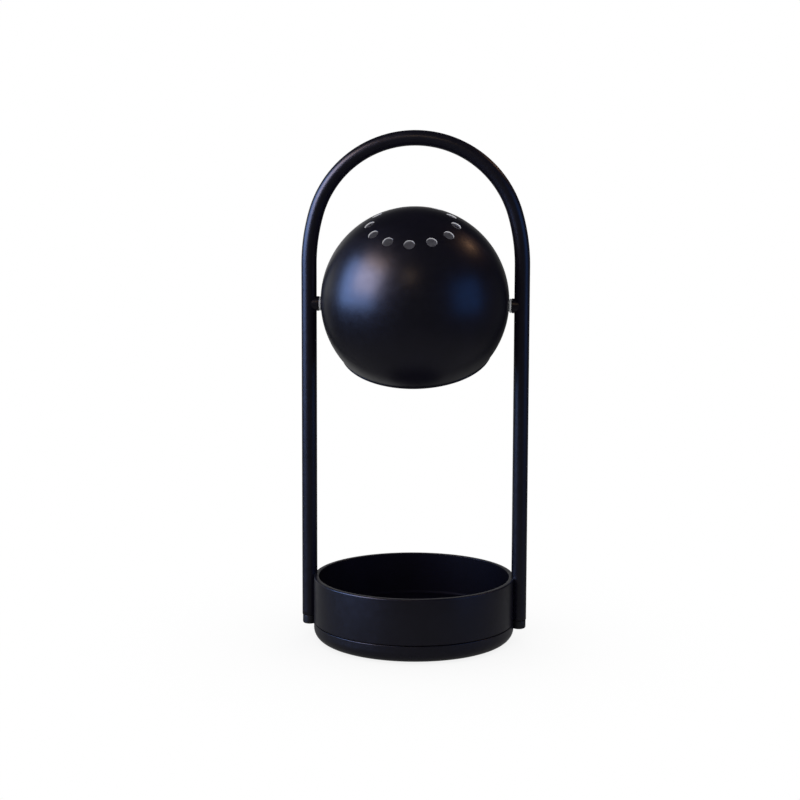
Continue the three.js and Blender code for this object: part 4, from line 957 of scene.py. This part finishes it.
# A nearly white band in the holes' walls is a painted highlight, which draws each vent's edge as a thin pale
# crescent.
vent_highlight_paint = grained(
    "vent walls, painted highlight", ("#dadbde", "#e8e9eb"), (0.4, 0.5), grain=0.5, relief=0.006, clouds=5
)
shell_points, shell_faces, shell_finishes = shade_shell()
shell_materials = [shade_coat, inside_coat, vent_highlight_paint]
shell = mesh_piece("shell", shell_points, shell_faces, shell_materials, 40, shell_finishes)
fitted(shell, "shade", "shade_coat", "shade_shell")


# ---- Pivot bosses
# Turned aluminium discs fixed inside the shell at the pivots, domed to fit it, which keep its thin wall from
# bending under the nuts.
BOSS_RADIUS = 8.0
BOSS_INNER = 54.7
BOSS_EDGE = 0.4
BOSS_GAP = 0.6  # from the shell's inner face, for the glue
# A light, neutral metal, slightly dulled by the tool's fine marks.
bare_aluminium = grained(
    "aluminium, turned", ("#a7a9ab", "#bfc0c2"), (0.28, 0.4), grain=0.25, relief=0.004, metallic=1, clouds=6
)


def boss_profile():
    """The flat inner face, the rim, and a dome that follows the shell's inner face: how far out it reaches is
    the root of the inner radius squared less the offset from the ball's centre squared."""
    radius = np.linspace(BOSS_RADIUS, PIVOT_HOLE, 7)
    dome = np.sqrt((SHELL_INSIDE - BOSS_GAP) ** 2 - (radius + PIVOT_DROP) ** 2)
    rim = [(BOSS_RADIUS - BOSS_EDGE, BOSS_INNER), (BOSS_RADIUS, BOSS_INNER + BOSS_EDGE)]
    return np.concatenate([[(PIVOT_HOLE, BOSS_INNER)], rim, np.stack([radius, dome], -1)])


def on_the_shade_pivot(points, side):
    """As on_the_pivot, in the shade's own frame, then tilted."""
    return tilted(on_the_pivot(points, side) - (0, 0, PIVOT_HEIGHT))


boss = ("boss", "pivot_boss", boss_profile(), on_the_shade_pivot, {})
on_both_sides("shade", "aluminium", bare_aluminium, boss)


# ---- Pivot bushes
# Natural nylon, moulded: a sleeve in the shell's hole with a flange outside, the pale ring beside the ball.
BUSH_BORE = 2.6
BUSH_RADIUS = 3.6
BUSH_INNER = 52.9
FLANGE_RADIUS = 4.5
FLANGE_SEAT = 60.15
FLANGE_FACE = 61.3
# Natural nylon lets some light in, which makes the ring look pale and soft.
nylon = grained(
    "nylon, natural", ("#a6a7aa", "#b3b4b6"), (0.38, 0.48), grain=0.4, relief=0.005, clouds=5,
    more={"Subsurface Weight": 0.15, "Subsurface Radius": (0.001, 0.001, 0.001)},
)
bush_profile = rounded([
    (BUSH_BORE, BUSH_INNER, 0.15),
    (BUSH_RADIUS, BUSH_INNER, 0.2),
    (BUSH_RADIUS, FLANGE_SEAT, 0),
    (FLANGE_RADIUS, FLANGE_SEAT, 0.15),
    (FLANGE_RADIUS, FLANGE_FACE, 0.25),
    (BUSH_BORE, FLANGE_FACE, 0.15),
])
bush = ("bush", "pivot_bush", bush_profile, on_the_shade_pivot, {})
on_both_sides("shade", "pale_nylon", nylon, bush)


# ---- Lamp bracket
# A strip of zinc-plated steel, bent to reach from one pivot to the other over the lamp unit, with an eye on
# each bush and two screws down into the heat sink.
BRACKET_WIDTH = 14.0
BRACKET_THICKNESS = 1.5
BRACKET_EDGE = 0.3
BRACKET_BEND = 4.0
EYE_X = 53.65
EYE_BOTTOM = -7.0
SHOULDER_HEIGHT = 9.0
FLAT_HALF = 26.0
FLAT_HEIGHT = 20.75
SINK_SCREW_X = 5.5


def bracket_rings():
    """The strip's rounded section carried along its route in the XZ plane, its thickness along the route's
    normal. The ends close towards the strip's middle line, as a sheared end does."""
    half = [(-EYE_X, 0, EYE_BOTTOM), (-EYE_X, 0, SHOULDER_HEIGHT), (-FLAT_HALF, 0, FLAT_HEIGHT)]
    route = routed(half + [(-x, y, z) for x, y, z in half[::-1]], BRACKET_BEND, steps=10)
    tangent, aside = tangents(route), np.array([0, 1.0, 0])
    across = np.stack([-tangent[:, 2], np.zeros(len(tangent)), tangent[:, 0]], -1)
    w, t = BRACKET_WIDTH / 2, BRACKET_THICKNESS / 2
    section = rounded([(x, z, BRACKET_EDGE) for x, z in ((-w, -t), (w, -t), (w, t), (-w, t))], steps=3)
    wide = section[None, :, :1] * aside
    rows = route[:, None] + wide + section[None, :, 1:] * across[:, None]
    return capped(rows, route[0] + wide, route[-1] + wide)


bracket = grid_piece("bracket", tilted(bracket_rings()), [zinc_plate], 30)
for middle, way, radius in (
    ((-EYE_X, 0, 0), (-OVERRUN, 0, 0), PIVOT_HOLE),
    ((EYE_X, 0, 0), (OVERRUN, 0, 0), PIVOT_HOLE),
    ((-SINK_SCREW_X, 0, FLAT_HEIGHT), (0, 0, OVERRUN), SCREW_HOLE),
    ((SINK_SCREW_X, 0, FLAT_HEIGHT), (0, 0, OVERRUN), SCREW_HOLE),
):
    drilled(bracket, [(tilted(np.subtract(middle, way)), tilted(np.add(middle, way)), radius)])
fitted(bracket, "shade", "steel", "lamp_bracket")


# ---- Heat sink
# Die-cast aluminium, bare: a round plate with a core and fourteen radial fins, which carries the light source
# under it and is screwed to the bracket above.
SINK_RADIUS = 25.5
SINK_BOTTOM = 8.7
SINK_PLATE_TOP = 11.2
SINK_TOP = 19.7
SINK_CORE = 9.0
SINK_SIDES = 120
FIN_COUNT = 14
FIN_THICKNESS = 1.6
FIN_FOOT = SINK_PLATE_TOP - 0.5  # sunk in the plate
# The skin of a casting is a light, dull metal with a visible grain.
cast_aluminium = grained(
    "aluminium, die cast", ("#9fa1a4", "#b6b8ba"), (0.38, 0.55), grain=0.7, relief=0.02, metallic=1, clouds=9
)


def fin_outline():
    """The fins' outline round the core. Each fin has straight sides half its thickness from its middle line,
    a tip on the sink's circle with rounded corners, and a fillet at its foot."""
    half = FIN_THICKNESS / 2
    foot, tip = math.sqrt(SINK_CORE**2 - half**2), math.sqrt(SINK_RADIUS**2 - half**2)
    shape = []
    for turn in 2 * math.pi * (np.arange(FIN_COUNT) + 0.5) / FIN_COUNT:
        c, s = math.cos(turn), math.sin(turn)
        for x, y, radius in ((foot, -half, 1.0), (tip, -half, 0.5), (tip, half, 0.5), (foot, half, 1.0)):
            shape.append((x * c - y * s, x * s + y * c, radius))
    return rounded(shape, steps=4)


fins = fin_outline()
count = len(fins)
fin_points = np.concatenate([np.insert(fins, 2, height, axis=1) for height in (FIN_FOOT, SINK_TOP)])
fin_faces = [list(range(count))[::-1], list(range(count, 2 * count)), *grid_faces(2, count)]
plate_corners = [(0, SINK_BOTTOM, 0), (SINK_RADIUS, SINK_BOTTOM, 0.3)]
plate_corners += [(SINK_RADIUS, SINK_PLATE_TOP, 0.4), (0, SINK_PLATE_TOP, 0)]
plate_grid = turned(rounded(plate_corners), SINK_SIDES)
plate_faces = grid_faces(*plate_grid.shape[:2], first=2 * count, closed_rows=True)
sink_points = np.concatenate([fin_points, plate_grid.reshape(-1, 3)])
sink = mesh_piece("sink", tilted(sink_points), fin_faces + plate_faces, [cast_aluminium], 30)
fitted(sink, "shade", "aluminium", "heat_sink")


# ---- Sink screws
# Two black-oxide steel screws through the bracket's flat into the heat sink's core.
sink_screw, hexagon = socket_screw(head=2.6, head_height=1.8, shank=1.4, length=8.0, key=1.25, key_depth=1.0)
seat_height = FLAT_HEIGHT + BRACKET_THICKNESS / 2 + HEAD_GAP
for number, x in enumerate((-SINK_SCREW_X, SINK_SCREW_X), 1):
    place = lambda points: tilted(points * (1, -1, -1) + (x, 0, seat_height))
    screw = turned_piece(f"bracket_screw_{number}", sink_screw, [black_oxide], 48, hexagon, place)
    fitted(screw, "shade", "dark_steel", f"sink_screw_{number}")


# ---- Light source
# A round aluminium-cored board under white lacquer, and under it the light-emitting disc, phosphor in
# silicone.
# The board is a warm white with a soft gloss, and the phosphor a waxy yellow.
white_lacquer = grained(
    "aluminium core, white lacquer", ("#dedcd5", "#ece9df"), (0.3, 0.45), grain=0.6, relief=0.006, clouds=6
)
phosphor = grained(
    "silicone with phosphor", ("#d9b84a", "#e6c95f"), (0.3, 0.4), grain=0.3, relief=0.01, clouds=3
)
dressed(white_lacquer, "led_board")
dressed(phosphor, "led_emitter")


# ---- Lens
# A moulded dome of opal polycarbonate with a flange, which hides the light source and spreads its light.
LENS_RADIUS = 18.5
LENS_DEPTH = 16.0
LENS_WALL = 1.5
LENS_FLANGE = 20.0
LENS_TOP = 8.4
LENS_FLANGE_BOTTOM = 6.9
# Light scatters in the opal wall: a warm white without dark spots, glossy on top.
opal = grained(
    "polycarbonate, opal", ("#e4e2dc", "#eeece6"), (0.28, 0.34), grain=0.5, relief=0.003, clouds=12,
    more={"Subsurface Weight": 0.5, "Subsurface Radius": (0.004, 0.004, 0.0035), "Coat Weight": 0.3},
)


def lens_curve(radius, depth):
    """A quarter ellipse under the flange, from the axis out to the rim."""
    angle = np.linspace(0, np.pi / 2, 25)
    return np.stack([radius * np.sin(angle), LENS_FLANGE_BOTTOM - depth * np.cos(angle)], -1)


lens_flange = rounded([
    (LENS_RADIUS, LENS_FLANGE_BOTTOM, 0),
    (LENS_FLANGE, LENS_FLANGE_BOTTOM, 0.2),
    (LENS_FLANGE, LENS_TOP, 0.2),
    (LENS_RADIUS - LENS_WALL, LENS_TOP, 0),
])
outer_curve = lens_curve(LENS_RADIUS, LENS_DEPTH)
inner_curve = lens_curve(LENS_RADIUS - LENS_WALL, LENS_DEPTH - LENS_WALL)
lens_profile = np.concatenate([outer_curve, lens_flange, inner_curve[::-1]])
lens = turned_piece("lens", lens_profile, [opal], 120, place=tilted)
fitted(lens, "shade", "opal", "opal_lens")


# ---- Lens ring
# Die-cast and lacquered white. It holds the lens's flange against the heat sink with three small screws.
RING_INSIDE = 18.7
RING_RADIUS = 25.2
RING_SEAT = 20.15
RING_BOTTOM = 4.9
RING_LIP_TOP = 6.75
RING_TOP = 8.55
# A warm white, through which the casting's grain shows a little.
ring_lacquer = grained(
    "aluminium, white lacquer", ("#d6d4cc", "#e2dfd6"), (0.32, 0.42), grain=0.9, relief=0.008, clouds=16
)
ring_profile = rounded([
    (RING_INSIDE, RING_BOTTOM, 0.25),
    (RING_RADIUS, RING_BOTTOM, 0.6),
    (RING_RADIUS, RING_TOP, 0.2),
    (RING_SEAT, RING_TOP, 0),
    (RING_SEAT, RING_LIP_TOP, 0),
    (RING_INSIDE, RING_LIP_TOP, 0.1),
])
lens_ring = turned_piece("ring", ring_profile, [ring_lacquer], 144, place=tilted)
fitted(lens_ring, "shade", "white_lacquer", "lens_ring")


# ---- Lens screws
# Three small zinc-plated screws up through the ring into the heat sink's plate.
LENS_SCREW_CIRCLE = 22.8
lens_screw, hexagon = socket_screw(head=2.0, head_height=1.3, shank=1.0, length=5.8, key=0.95, key_depth=0.7)
for number in (1, 2, 3):
    turn = 2 * math.pi * (number - 1) / 3
    seat = (LENS_SCREW_CIRCLE * math.cos(turn), LENS_SCREW_CIRCLE * math.sin(turn), RING_BOTTOM - HEAD_GAP)
    place = lambda points: tilted(points + seat)
    screw = turned_piece(f"ring_screw_{number}", lens_screw, [zinc_plate], 48, hexagon, place)
    fitted(screw, "shade", "steel", f"lens_screw_{number}")


# ---- Shade lead
# The same soft cable, from the left pin over the heat sink's edge and down between two fins.
shade_corners = [(-47.5, 0, 0), (-40, 0, 0), (-34, 0, 15), (-14.5, 0, 15), (-14.5, 0, SINK_BOTTOM)]
shade_cable = grid_piece("shade_cable", tilted(cable(routed(shade_corners, bend=3.0))), [sheath])
fitted(shade_cable, "shade", "sheath", "shade_lead")


# ---- Floor, light and camera
# A plain white floor and a white backdrop behind the lamp, in a room that gloss sees as dim to the sides and
# above. A blue window and a warm white one stand to the left, a weak blue one to the right, and two small
# warm lamps hang overhead. All five show in gloss only.
FLOOR_HALF = 6.0
FLOOR_BACK = (-0.35, 0.94, 0.0)  # where gloss sees the floor at its brightest
ROOM_BACK = (-0.5, 0.866, 0.0)  # and the room
WHITE = (1, 1, 1, 1)

floor_mesh = bpy.data.meshes.new("floor")
floor_corners = [(x * FLOOR_HALF, y * FLOOR_HALF, 0) for x, y in ((-1, -1), (1, -1), (1, 1), (-1, 1))]
floor_mesh.from_pydata(floor_corners, [], [(0, 1, 2, 3)])
floor = bpy.data.objects.new("floor", floor_mesh)
bpy.context.scene.collection.objects.link(floor)
paint = bpy.data.materials.new("floor, white")
floor_mesh.materials.append(paint)
world = bpy.data.worlds.new("studio")
bpy.context.scene.world = world
for surface in (paint, world):
    surface.use_nodes = True
    surface.node_tree.nodes.clear()


def ray_kinds(surface):
    """Whether the camera sees a surface, and whether gloss or transmission does: the greater of those two."""
    rays = add_node(surface, "LightPath").outputs
    either = {0: rays["Is Glossy Ray"], 1: rays["Is Transmission Ray"]}
    return rays["Is Camera Ray"], add_node(surface, "Math", {"operation": "MAXIMUM"}, either)


# The floor. Diffuse rays see matt white. Near the lamp the camera sees some of that, for the shadow, and
# further out plain white. Gloss sees a level of its own, brighter near the lamp and behind it.
camera_ray, gloss_ray = ray_kinds(paint)
spot = add_node(paint, "TexCoord").outputs["Object"]
distance = add_node(paint, "VectorMath", {"operation": "LENGTH"}, {0: spot}).outputs["Value"]
fade = add_node(
    paint,
    "MapRange",
    {"From Min": 0.07, "From Max": 0.25, "To Min": 0.85, "To Max": 1.0, "interpolation_type": "SMOOTHSTEP"},
    {"Value": distance},
)
seen = add_node(paint, "Math", {"operation": "MULTIPLY"}, {0: camera_ray, 1: fade})
share = add_node(paint, "Math", {"operation": "MAXIMUM"}, {0: seen, 1: gloss_ray})
near = add_node(
    paint,
    "MapRange",
    {"From Min": 0.15, "From Max": 0.5, "To Min": 0.2, "To Max": 0.05, "interpolation_type": "SMOOTHSTEP"},
    {"Value": distance},
)
way = add_node(paint, "VectorMath", {"operation": "NORMALIZE"}, {0: spot})
back = add_node(paint, "VectorMath", {"operation": "DOT_PRODUCT", 1: FLOOR_BACK}, {0: way})
behind = add_node(
    paint,
    "MapRange",
    {"From Min": 0.75, "From Max": 1.0, "To Min": 0.0, "To Max": 0.3, "interpolation_type": "SMOOTHSTEP"},
    {"Value": back.outputs["Value"]},
)
mirrored = add_node(paint, "Math", {"operation": "ADD"}, {0: near, 1: behind})
level = add_node(paint, "Math", {"operation": "MAXIMUM"}, {0: mirrored, 1: camera_ray})
matt = add_node(paint, "BsdfDiffuse", {"Color": (0.95, 0.95, 0.95, 1)})
white = add_node(paint, "Emission", {"Color": WHITE}, {"Strength": level})
mixed = add_node(paint, "MixShader", None, {0: share, 1: matt, 2: white})
add_node(paint, "OutputMaterial", None, {"Surface": mixed})

# The room. Diffuse rays see even white light and the camera a white backdrop. Gloss sees a level that falls
# from the horizon up and away from the back.
camera_ray, gloss_ray = ray_kinds(world)
look = add_node(world, "TexCoord").outputs["Generated"]
rise = add_node(world, "SeparateXYZ", None, {"Vector": look})
ceiling = add_node(
    world,
    "MapRange",
    {"From Min": 0.0, "From Max": 0.5, "To Min": 1.0, "To Max": 0.05, "interpolation_type": "SMOOTHSTEP"},
    {"Value": rise.outputs["Z"]},
)
back = add_node(world, "VectorMath", {"operation": "DOT_PRODUCT", 1: ROOM_BACK}, {0: look})
behind = add_node(
    world,
    "MapRange",
    {"From Min": 0.55, "From Max": 1.0, "To Min": 0.04, "To Max": 0.6, "interpolation_type": "SMOOTHSTEP"},
    {"Value": back.outputs["Value"]},
)
sweep = add_node(world, "Math", {"operation": "MULTIPLY"}, {0: ceiling, 1: behind})
fill = add_node(world, "Background", {"Color": WHITE, "Strength": 1.05})
surround = add_node(world, "Background", {"Color": WHITE}, {"Strength": sweep})
backdrop = add_node(world, "Background", {"Color": WHITE, "Strength": 1.0})
reflected = add_node(world, "MixShader", None, {0: gloss_ray, 1: fill, 2: surround})
shown = add_node(world, "MixShader", None, {0: camera_ray, 1: reflected, 2: backdrop})
add_node(world, "OutputWorld", None, {"Surface": shown})

# Each window faces the shade from azimuth degrees to the left of the front. Its power is its brightness times
# pi times its area, with width and height in metres.
LIT_POINT = Vector((0, 0, 0.2))
WINDOW_DISTANCE = 1.4
WINDOWS = (
    # name, azimuth, elevation, width, height, colour, brightness
    ("window_blue", 70.5, 17, 1.34, 1.05, "#86aaf2", 14),
    ("window_pale", 60, 29, 0.8, 0.9, "#fad8c6", 10),
    ("window_right", -70, 6, 0.95, 0.9, "#2c5aa0", 5),
    ("lamp_warm", -121, 42, 0.18, 0.18, "#ffc598", 10),
    ("lamp_dim", 4, 35, 0.2, 0.2, "#ffd9b0", 6.5),
)
for name, azimuth, elevation, width, height, colour, brightness in WINDOWS:
    a, e = math.radians(azimuth), math.radians(elevation)
    away = Vector((-math.sin(a) * math.cos(e), -math.cos(a) * math.cos(e), math.sin(e)))
    light = bpy.data.lights.new(name, "AREA")
    light.shape = "RECTANGLE"
    light.size, light.size_y = width, height
    light.color = linear(colour)[:3]
    light.energy = brightness * math.pi * width * height
    lamp = bpy.data.objects.new(name, light)
    facing = away.to_track_quat("Z", "Y").to_matrix().to_4x4()
    lamp.matrix_world = Matrix.Translation(LIT_POINT + away * WINDOW_DISTANCE) @ facing
    lamp.visible_diffuse = False
    bpy.context.scene.collection.objects.link(lamp)

# The camera stands where the photograph was taken from. Angles are in radians, distances in metres.
CAMERA_AZIMUTH = 0.079806
CAMERA_DISTANCE = 1.25000
CAMERA_HEIGHT = 0.34707
CAMERA_YAW = 0.007588
CAMERA_PITCH = 0.131063
CAMERA_ROLL = 0.003224
FOCAL_PIXELS = 1972.3
CENTRE_PIXELS = (400, 359.7)
IMAGE_PIXELS = 800
SENSOR_WIDTH = 36.0

camera_data = bpy.data.cameras.new("camera")
camera = bpy.data.objects.new("camera", camera_data)
bpy.context.scene.collection.objects.link(camera)
bpy.context.scene.camera = camera
camera_data.sensor_width = SENSOR_WIDTH
camera_data.lens = FOCAL_PIXELS * SENSOR_WIDTH / IMAGE_PIXELS
camera_data.shift_x = (IMAGE_PIXELS / 2 - CENTRE_PIXELS[0]) / IMAGE_PIXELS
camera_data.shift_y = (CENTRE_PIXELS[1] - IMAGE_PIXELS / 2) / IMAGE_PIXELS
camera_data.clip_start = 0.05
level_ahead = Matrix.Rotation(CAMERA_AZIMUTH + CAMERA_YAW, 3, "Z") @ Vector((0, 1, 0))
level_right = Vector((level_ahead.y, -level_ahead.x, 0))
pitch_sine, pitch_cosine = math.sin(CAMERA_PITCH), math.cos(CAMERA_PITCH)
forward = level_ahead * pitch_cosine - Vector((0, 0, pitch_sine))
upward = Vector((0, 0, pitch_cosine)) + level_ahead * pitch_sine
right = level_right * math.cos(CAMERA_ROLL) + upward * math.sin(CAMERA_ROLL)
upward = upward * math.cos(CAMERA_ROLL) - level_right * math.sin(CAMERA_ROLL)
away_x, away_y = CAMERA_DISTANCE * math.sin(CAMERA_AZIMUTH), -CAMERA_DISTANCE * math.cos(CAMERA_AZIMUTH)
facing = Matrix((right, upward, -forward)).transposed().to_4x4()
camera.matrix_world = Matrix.Translation((away_x, away_y, CAMERA_HEIGHT)) @ facing

bpy.context.scene.view_settings.view_transform = "Standard"
